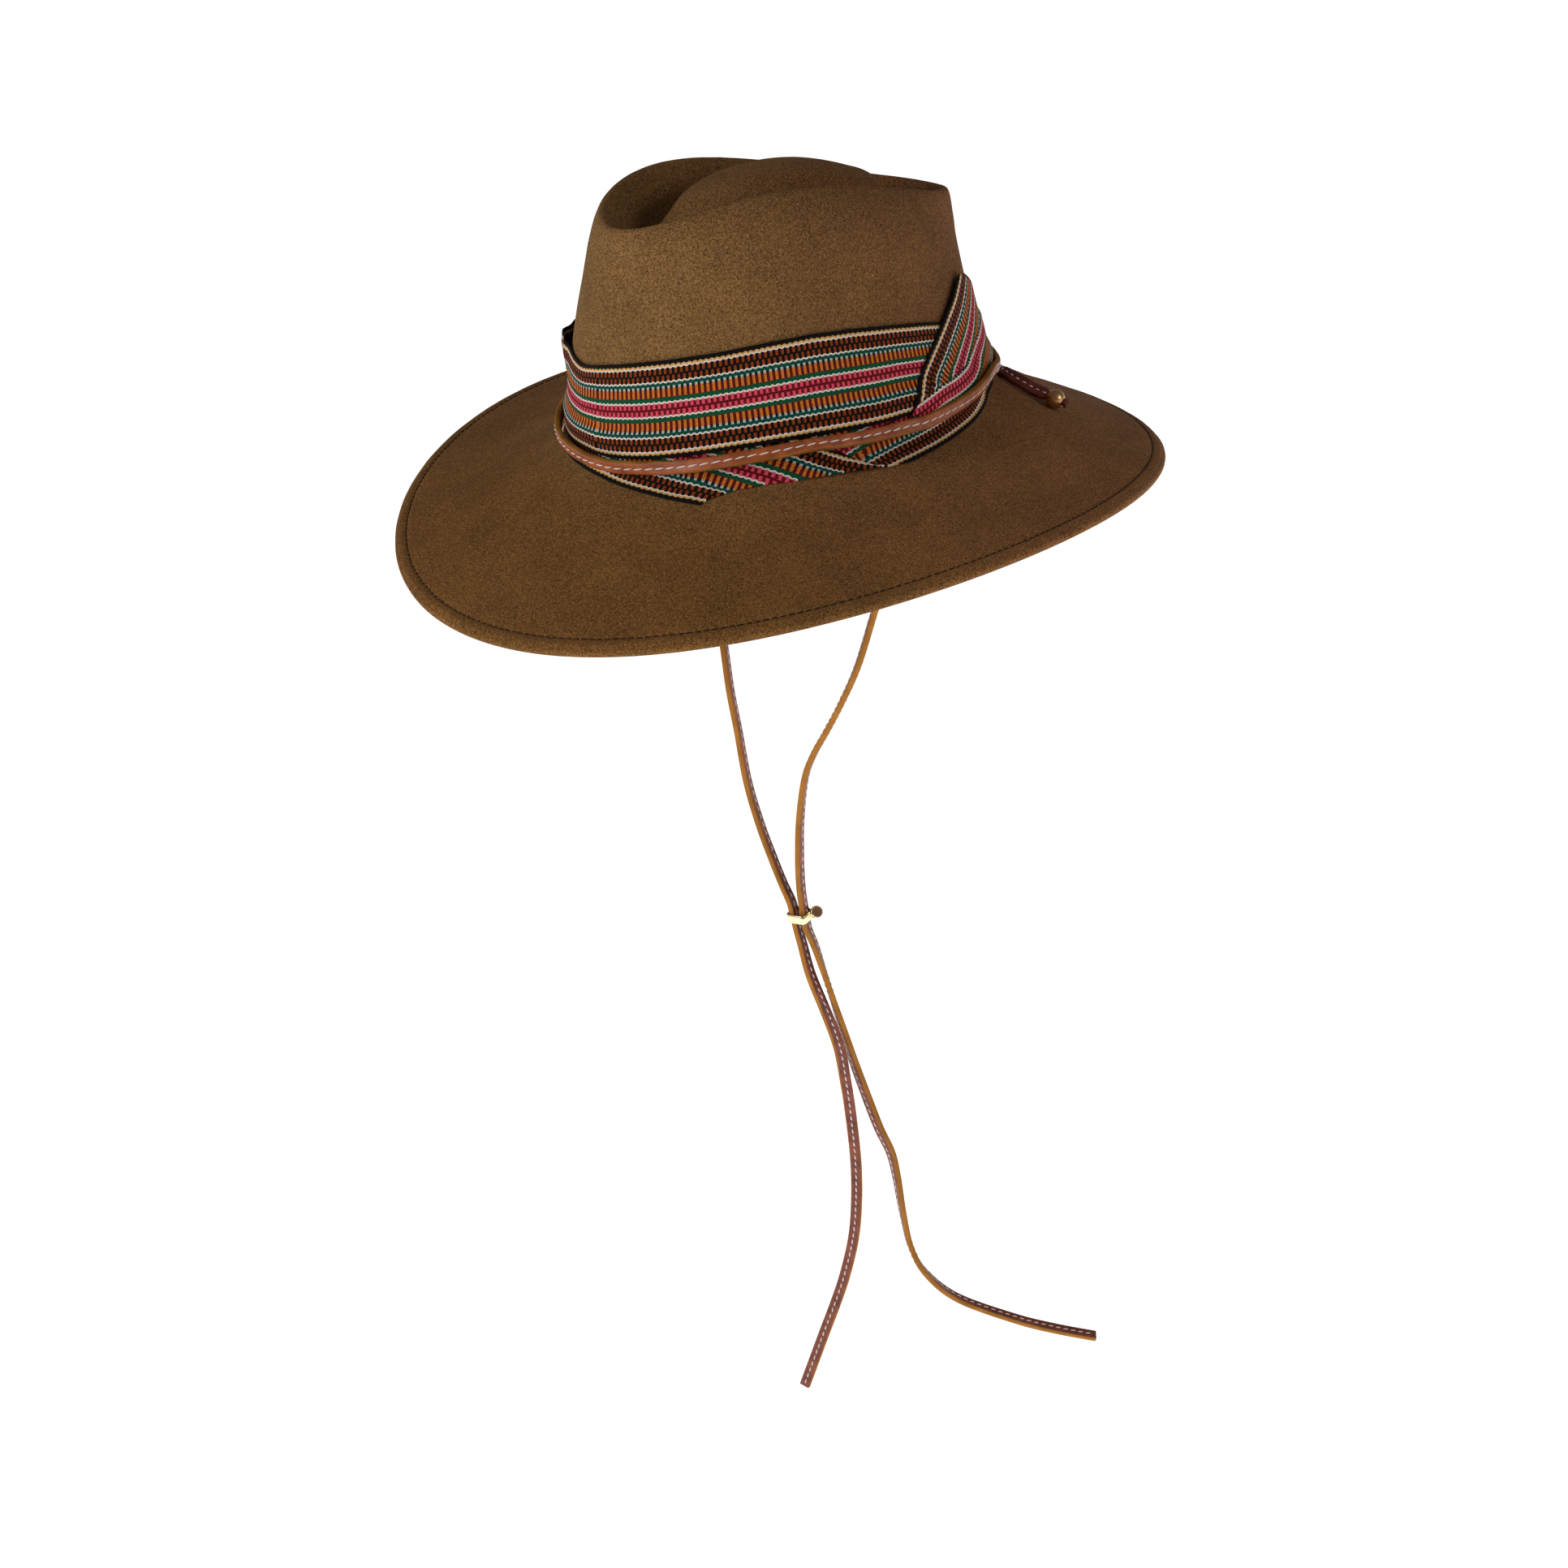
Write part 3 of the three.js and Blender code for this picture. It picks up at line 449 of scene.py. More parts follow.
def woven_material():
    """The striped band: ticks of colour along each stripe, on ribs of weft, with painted shade
    darkening the grooves between ribs and beads.
    """
    tree = Nodes("woven_stripes")
    uv = tree.new("ShaderNodeUVMap", {}, uv_map=WEAVE)
    split = tree.new("ShaderNodeSeparateXYZ", {0: uv.outputs[0]})
    along, across = split.outputs["X"], split.outputs["Y"]
    waver = tree.math("MULTIPLY_ADD", tree.noise(450, 2), 2 * WAVER, -WAVER)
    scallop = tree.wave("SINE", along, TICK_PITCH)
    across = tree.math("ADD", across, tree.math("MULTIPLY_ADD", scallop, SCALLOP, waver))
    from_middle = tree.math("DIVIDE", tree.math("ABSOLUTE", across), HALF_BAND)
    ticks = tree.ramp(from_middle, [(at / HALF_BAND, tick) for at, tick, _ in STRIPES])
    ground = tree.ramp(from_middle, [(at / HALF_BAND, under) for at, _, under in STRIPES])
    outer = tree.math("GREATER_THAN", from_middle, OUTER_RUST_FROM / HALF_BAND)
    upper = tree.math("GREATER_THAN", across, 0)
    phase = tree.math("DIVIDE", along, TICK_PITCH)
    phase = tree.math("MULTIPLY_ADD", tree.math("ADD", outer, upper), 0.5, phase)
    wave = tree.wave("SINE", phase, 1)
    start = 0.5 + TICK_SHARPNESS * TICK_SHARE
    tick = tree.math("MULTIPLY_ADD", wave, TICK_SHARPNESS, start, clamp=True)
    base = tree.mix(tick, ground, ticks)
    rib = tree.wave("COSINE", along, TICK_PITCH / 2)
    bead = tree.wave("COSINE", across, BEAD_PITCH)
    relief = tree.math("MULTIPLY_ADD", bead, 0.45, tree.math("MULTIPLY", rib, 0.35))
    # Painted shade: the weave's relief darkens the colour in the grooves between ribs and beads.
    base = tree.mix(1.0, base, tree.math("MULTIPLY_ADD", relief, 0.34, 0.86), "MULTIPLY")
    fuzz = tree.grey(tree.noise(1500, 3, 0.7), [(0.3, 0.75), (0.7, 1.2)])
    base = tree.mix(1.0, base, fuzz, "MULTIPLY")
    height = tree.math("MULTIPLY_ADD", tick, 0.5, relief)
    normal = tree.bump(height, 0.00022, 0.8)
    tree.set(base, 0.85, normal, sheen=(0.05, 0.5, linear(200, 190, 180)), specular=0.15)
    return tree.material


def leather_material(name, light, dark, roughness):
    """Smooth leather with a fine grain and rubbed, uneven colour."""
    tree = Nodes(name)
    light, dark = linear(*light), linear(*dark)
    base = tree.mix(tree.grey(tree.noise(140, 4, 0.6), [(0.35, 0.0), (0.68, 1.0)]), dark, light)
    grain = tree.new("ShaderNodeTexVoronoi", {"Vector": tree.place, "Scale": 1900})
    normal = tree.bump(grain.outputs["Distance"], 0.00012, 0.45)
    normal = tree.bump(tree.noise(320, 3), 0.0003, 0.3, normal)
    rubbed = tree.grey(tree.noise(260, 3), [(0.3, roughness - 0.07), (0.7, roughness + 0.1)])
    tree.set(base, rubbed, normal, specular=0.35)
    return tree.material


def raw_edge_material(name, light, dark):
    """A cut leather edge: pale, fibrous and matt."""
    tree = Nodes(name)
    light, dark = linear(*light), linear(*dark)
    fibres = tree.noise(1300, 4, 0.7)
    cloud = tree.grey(tree.noise(90, 3), [(0.3, 0.0), (0.7, 1.0)])
    base = tree.mix(cloud, dark, light)
    base = tree.mix(tree.grey(fibres, [(0.35, 0.5), (0.6, 0.0)]), base, dark)
    tree.set(base, 0.85, tree.bump(fibres, 0.0003, 0.6), specular=0.2)
    return tree.material


def thread_material(name, light, dark):
    """Twisted thread, a little soiled."""
    tree = Nodes(name)
    light, dark = linear(*light), linear(*dark)
    twist = tree.noise(1800, 2, 0.6)
    base = tree.mix(tree.grey(twist, [(0.35, 0.0), (0.65, 1.0)]), dark, light)
    tree.set(base, 0.7, tree.bump(twist, 0.00012, 0.6), specular=0.3)
    return tree.material


def brass_material(name, dark, light, roughness):
    """Brass with faint wear."""
    tree = Nodes(name)
    wear = tree.noise(500, 4, 0.6)
    base = tree.mix(tree.grey(wear, [(0.3, 0.0), (0.7, 1.0)]), dark, light)
    rough = tree.grey(wear, [(0.3, roughness), (0.7, roughness + 0.05)])
    tree.set(base, rough, metallic=1.0)
    return tree.material


# Mesh making

def make_piece(name, points, faces, materials, node=None, face_materials=None, weave=None):
    """A piece from points in mm and faces of point numbers. It rides on the hat's one body, and
    can replace a solid's node."""
    mesh = bpy.data.meshes.new(name)
    mesh.from_pydata((np.asarray(points) * MM).tolist(), [], faces)
    for material in materials:
        mesh.materials.append(material)
    if face_materials is not None:
        mesh.polygons.foreach_set("material_index", np.asarray(face_materials, dtype=np.int32))
    if weave is not None:
        layer = mesh.uv_layers.new(name=WEAVE)
        layer.uv.foreach_set("vector", np.asarray(weave, np.float32).ravel())
    work = bmesh.new()
    work.from_mesh(mesh)
    bmesh.ops.recalc_face_normals(work, faces=work.faces)
    work.to_mesh(mesh)
    work.free()
    mesh.polygons.foreach_set("use_smooth", np.ones(len(mesh.polygons), bool))
    mesh.update()
    piece = add_object(name, mesh)
    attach(piece, "root")
    if node is not None:
        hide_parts(node)
    return piece


def loft_faces(stations, size, closed):
    """Faces through loops of points, capped at both ends unless the loft goes right round."""
    faces = []
    for s in range(stations if closed else stations - 1):
        here, there = s * size, (s + 1) % stations * size
        for k in range(size):
            after = (k + 1) % size
            faces.append((here + k, here + after, there + after, there + k))
    if not closed:
        faces.append(tuple(range(size)))
        faces.append(tuple(range(stations * size - 1, (stations - 1) * size - 1, -1)))
    return faces


def smooth_route(points, step):
    """Places every step mm on a smooth curve through points, as fractions of their numbers."""
    points = np.asarray(points, float)
    fine = np.linspace(0, len(points) - 1, 60 * (len(points) - 1) + 1)
    curve = spline(points, fine)
    run = run_along(curve)
    count = max(2, int(round(run[-1] / step)) + 1)
    return np.interp(np.linspace(0, run[-1], count), run, fine), run[-1]


def spline(table, index):
    """Rows of a table at places between them, on a Catmull-Rom curve."""
    last = len(table) - 1
    index = np.clip(index, 0, last)
    i = np.minimum(index.astype(int), last - 1)
    t = (index - i)[..., None]
    a, b, c, d = (table[np.clip(i + k, 0, last)] for k in (-1, 0, 1, 2))
    square, cube = 2 * a - 5 * b + 4 * c - d, 3 * b - a - 3 * c + d
    return b + ((c - a) * t + square * t**2 + cube * t**3) / 2


def unit(vectors):
    return vectors / np.linalg.norm(vectors, axis=-1, keepdims=True)


def run_along(line):
    """How far along a line each of its points lies."""
    return np.concatenate([[0], np.cumsum(np.linalg.norm(np.diff(line, axis=0), axis=1))])


# The felt's shape

def plain_felt(index, angle):
    """The felt's outer side at places between the sections and angles in radians."""
    columns = np.moveaxis(spline(SECTION_TABLE, index), -1, 0)
    half, front, back, z_front, z_side, z_back, taper, dip = columns
    cos, sin = np.cos(angle), np.sin(angle)
    x = half * sin * (1 - taper * cos)
    y = (back - front) / 2 - (back + front) / 2 * cos
    ends = (z_front + z_back) / 2
    z = (z_side + ends) / 2 + ((z_front - z_back) / 2 - dip) * cos
    z = z + (ends - z_side) / 2 * np.cos(2 * angle) + dip * np.cos(3 * angle)
    z = z + LEAN_RISE * np.clip(z / LEAN_HEIGHT, 0, 1) * x / LEAN_HALF
    return np.stack([x, y, z], -1)


def felt_normal(index, angle):
    """The way the plain felt looks, from its slopes across and round."""
    across = plain_felt(index + 0.02, angle) - plain_felt(index - 0.02, angle)
    round_it = plain_felt(index, angle + 0.01) - plain_felt(index, angle - 0.01)
    return unit(np.cross(across, round_it))


def felt_surface(index, angle):
    """The felt's outer side with the soft hollow that a thumb leaves on its near wall."""
    index, angle = np.broadcast_arrays(np.asarray(index, float), np.asarray(angle, float))
    points = plain_felt(index, angle)
    distance = np.linalg.norm(points - np.array(DENT["at"]), axis=-1) / DENT["radius"]
    depth = DENT["depth"] * np.exp(-1.6 * distance**2)
    return points - depth[..., None] * felt_normal(index, angle)


LOOKUP = np.unique(np.append(np.linspace(CREST_OUTSIDE + 0.3, LAST, 240), CREASE))


def index_at(angle, heights):
    """Section places at heights beside one angle. A height is above the crease on the crown, and
    a negative one is a distance out along the brim."""
    column = felt_surface(LOOKUP, angle)
    out = run_along(column)
    out -= out[np.searchsorted(LOOKUP, CREASE)]
    scale = np.where(LOOKUP < CREASE, column[:, 2], -out)
    return np.interp(-np.asarray(heights, float), -scale, LOOKUP)


def beside_felt(angle, heights, off):
    """Points at heights beside one angle, standing off the felt."""
    index = index_at(angle, heights)
    return felt_surface(index, angle) + np.asarray(off)[..., None] * felt_normal(index, angle)


# Arc lengths round the crown

FINE_ANGLES = np.radians(np.linspace(0, 360, 1441))
OVAL = np.stack([OVAL_HALF * np.sin(FINE_ANGLES), -OVAL_LONG * np.cos(FINE_ANGLES)], -1)
FINE_ARCS = run_along(OVAL)
ALL_ROUND = FINE_ARCS[-1]


def angle_of(arc):
    turns = np.floor(np.asarray(arc) / ALL_ROUND)
    return np.interp(arc - turns * ALL_ROUND, FINE_ARCS, FINE_ANGLES) + turns * 2 * math.pi


def around(rows, reach=4):
    """A smooth closed curve through (degrees, height), as a function of an angle in radians."""
    degrees = np.arange(360)
    values = np.interp(degrees, *zip(*rows), period=360)
    kernel = np.hanning(2 * reach + 3)[1:-1]
    kernel /= kernel.sum()
    soft = np.convolve(np.pad(values, reach, mode="wrap"), kernel, mode="valid")
    return lambda angle: np.interp(np.degrees(angle) % 360, degrees, soft, period=360)


UPPER_TOP_AT = around(UPPER_TOP)
UPPER_BOTTOM_AT = around(UPPER_BOTTOM)
LACE_AT = around(LACE_HEIGHT, 6)
TILT_AT = around(LACE_TILT, 8)


def along_rows(rows, arc):
    return np.interp(arc, *zip(*rows))


def beside_line(rows, arcs, heights):
    """How far along a line, and above it, places on the unrolled crown lie."""
    fractions, length = smooth_route(rows, 1.0)
    line = spline(np.asarray(rows, float), fractions)
    way = unit(np.gradient(line, axis=0))
    run = np.linspace(0, length, len(line))
    places = np.stack([arcs, heights], -1)
    nearest = np.argmin(((places[:, None] - line[None]) ** 2).sum(-1), axis=1)
    apart = places - line[nearest]
    ahead = (apart * way[nearest]).sum(-1)
    above = way[nearest][:, 0] * apart[:, 1] - way[nearest][:, 1] * apart[:, 0]
    return run[nearest] + ahead, above


def bell(value, middle, half):
    return np.exp(-(((value - middle) / half) ** 2))


def smooth_step(value, low, high):
    t = np.clip((value - low) / (high - low), 0, 1)
    return t * t * (3 - 2 * t)


# Woven pieces

def ripple(arc, height):
    """Small unevenness of the cloth, in mm."""
    wave = 0.12 * np.sin(arc / 9.3 + height / 21 + 0.7) + 0.1 * np.sin(arc / 17 - height / 11)
    return wave + 0.05 * np.sin(arc / 4.1 + height / 6.3 + 2)


def woven_section(arc, top, bottom, off, rows):
    """One station of a strip: its points over the outer face and back, and their heights."""
    high, low = float(top(arc)), float(bottom(arc))
    outer = high + (low - high) * np.linspace(0, 1, rows)
    inner = high + (low - high) * np.linspace(1, 0, rows // 3)
    heights = np.concatenate([[high], outer, [low], inner])
    sides = np.concatenate([[0], np.ones(rows), [0], -np.ones(len(inner))])
    stand = off(arc, heights) + ripple(arc, heights) + sides * CLOTH / 2
    place = beside_felt(float(angle_of(arc)), heights, stand)
    edge = unit(place[1] - place[2]) * CLOTH * 0.4
    place[0] += edge
    place[rows + 1] -= edge
    return place, heights


def weave_corners(weave, faces, closed):
    """The pattern's place at every corner of the faces. It runs on where a strip closes."""
    corners = np.concatenate(faces)
    places = np.concatenate(weave)[corners]
    if closed:
        size = len(weave[0])
        closing = slice(-4 * size, None)
        places[closing][corners[closing] < size, 0] += ALL_ROUND
    return places


def woven_piece(name, node, arcs, edges, off, pattern, rows, closed=False):
    """A strip of the band as a thin closed shell, from functions of the arc: its two edges'
    heights, its stand-off from the felt and its place on the band."""
    points, weave = [], []
    for arc in arcs:
        place, heights = woven_section(arc, *edges, off, rows)
        points.append(place)
        weave.append(np.stack(pattern(np.full(len(heights), arc), heights), -1))
    faces = loft_faces(len(points), len(points[0]), closed)
    piece = make_piece(
        name, np.concatenate(points), faces, [WOVEN], node,
        weave=weave_corners(weave, faces, closed),
    )


# How far the middle of the cloth stands off the felt, in its first layer and in its second.
FIRST_LAYER = GAP + CLOTH / 2
SECOND_LAYER = GAP + LAYER + CLOTH / 2

# Heights above the upper wrap's lower edge between which a layer steps out over the one below.
FOOT_KNEE, FOOT_SHELF = 7.8, 13.2
FOLD_KNEE, FOLD_SHELF = 8.4, 14.4
TUCK = 6
STEP = 0.9
LOOSE_ARC, LOOSE_REACH, LOOSE_OUT = 532, 11, 3.6
LOOSE_FROM, LOOSE_TO = 27, 43


def upper_foot(arc):
    """The height of the upper wrap's lower edge."""
    return UPPER_BOTTOM_AT(angle_of(arc))


def loose(arc, heights):
    """How far the upper wrap's top edge stands off the crown at the front, on the far side."""
    out = LOOSE_OUT * bell(arc, LOOSE_ARC, LOOSE_REACH) * (1 + 0.22 * math.sin(arc / 1.9))
    return out * smooth_step(heights, LOOSE_FROM, LOOSE_TO)


def upper_wrap():
    def top(arc):
        return UPPER_TOP_AT(angle_of(arc))

    def off(arc, heights):
        foot = 1 - smooth_step(heights - upper_foot(arc), FOOT_KNEE, FOOT_SHELF)
        return FIRST_LAYER + LAYER * foot + loose(arc, heights)

    def pattern(arcs, heights):
        foot = upper_foot(arcs[0])
        share = (heights - foot) / (top(arcs[0]) - foot)
        return arcs, BAND_WIDTH * np.clip(share, 0, 1) - HALF_BAND

    woven_piece(
        "woven_upper_wrap", "band_upper_wrap", np.linspace(0, ALL_ROUND, 640, endpoint=False),
        (top, upper_foot), off, pattern, 60, closed=True,
    )


def edge_line(rows, lift=0):
    return lambda arc: along_rows(rows, arc) + lift


def pattern_along(rows, shift):
    """A pattern whose stripes follow a line, which lies shift mm off the band's middle."""
    def pattern(arcs, heights):
        along, above = beside_line(rows, arcs, heights)
        return along, above + shift

    return pattern


def lower_wrap():
    """The lower turn: its start at the front and left, and its way round the back."""
    def back_top(arc):
        return upper_foot(arc) + TUCK

    def left_top(arc):
        top = min(back_top(arc), along_rows(LEFT_TOP, arc))
        return max(top, along_rows(LEFT_BOTTOM, arc) + 0.4)

    def left_off(arc, heights):
        return FIRST_LAYER + 0.95 * smooth_step(arc, 92, 100)

    def back_off(arc, heights):
        return FIRST_LAYER

    woven_piece(
        "woven_lower_left", "band_lower_wrap", np.arange(-118, 131.2, STEP),
        (left_top, edge_line(LEFT_BOTTOM)), left_off, pattern_along(LEFT_SELVEDGE, -HALF_BAND),
        48,
    )
    woven_piece(
        "woven_lower_back", "band_lower_wrap", np.arange(97, 478, STEP),
        (back_top, edge_line(BACK_BOTTOM)), back_off, pattern_along(BACK_SELVEDGE, -HALF_BAND),
        48,
    )


def side_fold():
    """The fold at the left rear, which lies on the upper wrap and steps out over its foot, and
    the strip that lies on the fold."""
    def fold_off(arc, heights):
        foot = 1 - smooth_step(heights - upper_foot(arc), FOLD_KNEE, FOLD_SHELF)
        return SECOND_LAYER + (LAYER + 0.05) * foot

    def strip_off(arc, heights):
        return fold_off(arc, heights) + 0.9

    woven_piece(
        "woven_side_fold", "band_side_fold", np.arange(150.5, 350, STEP),
        (edge_line(SIDE_TOP), edge_line(SIDE_BOTTOM)), fold_off,
        pattern_along(SIDE_SELVEDGE, HALF_BAND), 72,
    )
    woven_piece(
        "woven_side_strip", "band_side_fold", np.arange(150, 348, STEP),
        (edge_line(STRIP_TOP), edge_line(SIDE_BOTTOM, 0.4)), strip_off,
        pattern_along(STRIP_CENTRE, 0), 48,
    )


def far_fold():
    def off(arc, heights):
        return SECOND_LAYER + loose(arc, heights)

    woven_piece(
        "woven_far_fold", "band_far_fold", np.arange(398, 526, STEP),
        (edge_line(FAR_TOP), edge_line(FAR_BOTTOM)), off, pattern_along(FAR_TOP, HALF_BAND), 48,
    )


# The felt body

COLUMNS = 360
STITCH_FROM_EDGE = 5.5
GROOVE_DEPTH, GROOVE_HALF = 0.55, 0.8
PUFF_HEIGHT, PUFF_FROM_EDGE, PUFF_HALF = 0.35, 2.4, 1.5
HEM_STEP = (2.2, 1.4)


def edge_distance(places, angle):
    """How far inside the brim's edge places lie, at one angle."""
    fine = np.linspace(HEM - 1, LAST, 60)
    run = run_along(plain_felt(fine, angle))
    return np.interp(places, fine, run[-1] - run)


def fuzz(points):
    """Fine unevenness of the wool, in mm."""
    shape = points.shape[:-1]
    rough = [
        0.16 * noise.noise(Vector(p / 17)) + 0.07 * noise.noise(Vector(p / 5.3))
        for p in points.reshape(-1, 3)
    ]
    return np.array(rough).reshape(shape)


def felt_rings():
    """Ring places, finer over the crest and towards the edge."""
    crown = np.linspace(0, CREASE - 3, 78, endpoint=False)
    low = np.linspace(CREASE - 3, HEM - 1, 26, endpoint=False)
    brim = np.linspace(HEM - 1, HEM - 0.08, 9, endpoint=False)
    return np.concatenate([crown, low, brim, np.linspace(HEM - 0.08, LAST, 26)])


def felt_relief(index, angle, inside):
    """How far the wool, the hem's groove and its puffed edge stand off the plain felt."""
    relief = fuzz(felt_surface(index, angle))
    relief -= GROOVE_DEPTH * bell(inside, STITCH_FROM_EDGE, GROOVE_HALF)
    relief += PUFF_HEIGHT * bell(inside, PUFF_FROM_EDGE, PUFF_HALF)
    return relief * smooth_step(index, 0, 0.5)


def felt_loops():
    """Loops of points over the outer side, round the brim's edge and back over the inner side."""
    angles = np.linspace(0, 2 * math.pi, COLUMNS, endpoint=False)
    places = felt_rings()
    index, angle = np.meshgrid(places, angles, indexing="ij")
    normal = felt_normal(index, angle)
    inside = np.stack([edge_distance(places, a) for a in angles], 1)
    outer = felt_surface(index, angle) + felt_relief(index, angle, inside)[..., None] * normal
    low, high = (-STITCH_FROM_EDGE - step for step in HEM_STEP)
    depth = FELT_THICKNESS + (HEM_THICKNESS - FELT_THICKNESS) * smooth_step(-inside, low, high)
    inner = felt_surface(index, angle) - depth[..., None] * normal
    middle = (outer[-1] + inner[-1]) / 2
    half = (outer[-1] - inner[-1]) / 2
    way_out = unit(outer[-1] - outer[-4])
    rim = [
        middle + half * math.cos(b) + way_out * EDGE_REACH * math.sin(b)
        for b in np.radians([30, 60, 90, 120, 150])
    ]
    return [*outer, *rim, *inner[::-2]]


def felt_body():
    rings = felt_loops()
    points = np.concatenate(rings + [rings[0].mean(0)[None], rings[-1].mean(0)[None]])
    steps = [(s, (s + 1) % COLUMNS) for s in range(COLUMNS)]
    faces = []
    for here in range(0, (len(rings) - 1) * COLUMNS, COLUMNS):
        there = here + COLUMNS
        faces += [(here + s, there + s, there + after, here + after) for s, after in steps]
    for ring, centre in ((0, len(points) - 2), (there, len(points) - 1)):
        faces += [(ring + s, ring + after, centre) for s, after in steps]
    make_piece("felt_hat_body", points, faces, [FELT], "felt_body")


# Laces and stitches

LACE_WIDTH = 6.0
LACE_THICKNESS = 2.6
CHIN_THICKNESS = 2.8
LACE_CHAMFER = 0.45
LACE_STATIONS = 760

# Materials round a lace's section: face, raw edge, back, raw edge. One side of the far lace's
# face is painted near-black between two heights, beside the slide: painted shade where the lace
# lies in shadow.
LACE_STRIP = [0] * 6 + [1] * 4 + [2] * 4 + [1] * 4
PAINTED_SHADE_KIND = 3
SHADE_FROM, SHADE_TO = -325, -238

# Rows of stitches, in mm: where the first starts, how far from the end the last is, and the
# pitch, length and width of a stitch. The last number is its shift across for its length.
CHIN_STITCHES = (3, 3, 4.3, 3.1, 0.78, 0.12)
CROWN_STITCHES = (0, 0, 5.2, 4.5, 0.7, 0.12)
TAIL_STITCHES = (2, 10, 3.7, 2.2, 0.72, 0.12)
HEM_STITCHES = (0, 1, 3.6, 3.0, 0.6, 0)
HEM_STITCH_DEPTH = 0.3
DASH_RINGS, DASH_SIDES = 5, 6
DASH_RISE, DASH_FALL = 0.14, 0.3
DASH_FLATNESS = 0.8


def lace_section(width, thickness):
    """A lace's section as (across, out) points: face, raw edge, back, raw edge."""
    w, t, c = width / 2, thickness / 2, LACE_CHAMFER
    return [
        (w - c, t), (w * 0.55, t + 0.08), (0.6, t), (0, t - 0.06), (-0.6, t),
        (-w * 0.55, t + 0.08), (c - w, t), (-w + 0.1, t - c), (-w, 0), (-w + 0.1, c - t),
        (c - w, -t), (-0.6, -t), (0, 0.06 - t), (0.6, -t), (w - c, -t), (w - 0.1, c - t),
        (w, 0), (w - 0.1, t - c),
    ]


def sweep_lace(name, node, line, widths, thickness, materials, closed=False):
    """A lace's section carried along its centre line."""
    rings = [
        [centre + side * u + out * v for u, v in lace_section(width, thickness)]
        for centre, side, out, width in zip(*line, widths)
    ]
    stations, size = len(rings), len(LACE_STRIP)
    kinds = LACE_STRIP * stations if closed else LACE_STRIP * (stations - 1) + [1, 1]
    if len(materials) > PAINTED_SHADE_KIND:
        # Painted shade: near the slide, one strip of the far lace's face takes the near-black
        # material.
        heights = line[0][:-1, 2]
        for s in np.flatnonzero((heights > SHADE_FROM) & (heights < SHADE_TO)):
            kinds[s * size] = PAINTED_SHADE_KIND
    points = np.array(rings).reshape(-1, 3)
    faces = loft_faces(stations, size, closed)
    return make_piece(name, points, faces, materials, node, kinds)


def way_along(centres, closed=False):
    if closed:
        return unit(np.roll(centres, -1, axis=0) - np.roll(centres, 1, axis=0))
    return unit(np.gradient(centres, axis=0))


def framed(centres, faces_out, closed=False):
    """A line as its centres with their ways across and out, square to the way along."""
    along = way_along(centres, closed)
    out = unit(faces_out - (faces_out * along).sum(-1, keepdims=True) * along)
    return centres, np.cross(out, along), out


def dash_points(middle, run, line, lift, length, width, slant):
    """One stitch's rings of points, sunk at both ends, at a place along a line."""
    points = []
    half = length / 2
    for t in np.linspace(-1, 1, DASH_RINGS):
        centre, side, out = (
            np.array([np.interp(middle + t * half, run, values[:, k]) for k in range(3)])
            for values in line
        )
        radius = width / 2 * math.sqrt(max(0.12, 1 - abs(t) ** 3))
        centre = centre + side * t * half * slant
        centre = centre + out * (lift + DASH_RISE - DASH_FALL * t**4)
        for turn in 2 * math.pi * np.arange(DASH_SIDES) / DASH_SIDES:
            across, up = radius * math.cos(turn), radius * DASH_FLATNESS * math.sin(turn)
            points.append(centre + side * across + out * up)
    return points


def stitch_row(name, line, lift, material, stitches):
    """A row of stitches as small rounded dashes, joined in one piece. The line is the lace's
    centres with its ways across and out, and lift is how far out of it the stitches lie."""
    start, end, pitch, length, width, slant = stitches
    run = run_along(line[0])
    loft = loft_faces(DASH_RINGS, DASH_SIDES, False)
    points, faces = [], []
    for middle in np.arange(start + length / 2, run[-1] - end, pitch):
        base = len(points)
        points += dash_points(middle, run, line, lift, length, width, slant)
        faces += [tuple(base + corner for corner in face) for face in loft]
    return make_piece(name, points, faces, [material])


def crown_lace_line():
    """The crown lace's centre line, with its ways across and out."""
    centres, up_the_wall, tilts = [], [], []
    for angle in np.linspace(0, 2 * math.pi, LACE_STATIONS, endpoint=False):
        height = float(LACE_AT(angle))
        degrees = math.degrees(angle)
        on_fold = smooth_step(degrees, 88, 95) * (1 - smooth_step(degrees, 203, 211))
        tilt = math.radians(float(TILT_AT(angle)))
        tilts.append(tilt)
        ease = 0.14 * max(0, LACE_WIDTH - height) + LACE_WIDTH / 2 * abs(math.sin(tilt))
        off = GAP + 2 * LAYER + on_fold * (LAYER + 0.3) + LACE_THICKNESS / 2 + ease
        pair = beside_felt(angle, [height, max(height, 0) + 3], np.array([off, off]))
        centres.append(pair[0])
        up_the_wall.append(pair[1] - pair[0])
    centres = np.array(centres)
    along = way_along(centres, True)
    outs = np.cross(along, unit(np.array(up_the_wall)))
    centres, sides, outs = framed(centres, outs, True)
    cos, sin = (f(np.array(tilts))[:, None] for f in (np.cos, np.sin))
    outs = outs * cos + np.where(sides[:, 2:] > 0, 1, -1) * sides * sin
    return centres, np.cross(outs, along), outs


def crown_lace():
    """The leather lace that lies over the band, all the way round."""
    line = crown_lace_line()
    sweep_lace(
        "crown_lace", "leather_band", line, np.full(LACE_STATIONS, LACE_WIDTH), LACE_THICKNESS,
        [SADDLE, SADDLE_EDGE, SADDLE_EDGE], closed=True,
    )
    loop = [np.concatenate([values, values[:1]]) for values in line]
    stitch_row(
        "crown_lace_stitches", loop, LACE_THICKNESS / 2, THREAD, CROWN_STITCHES
    )


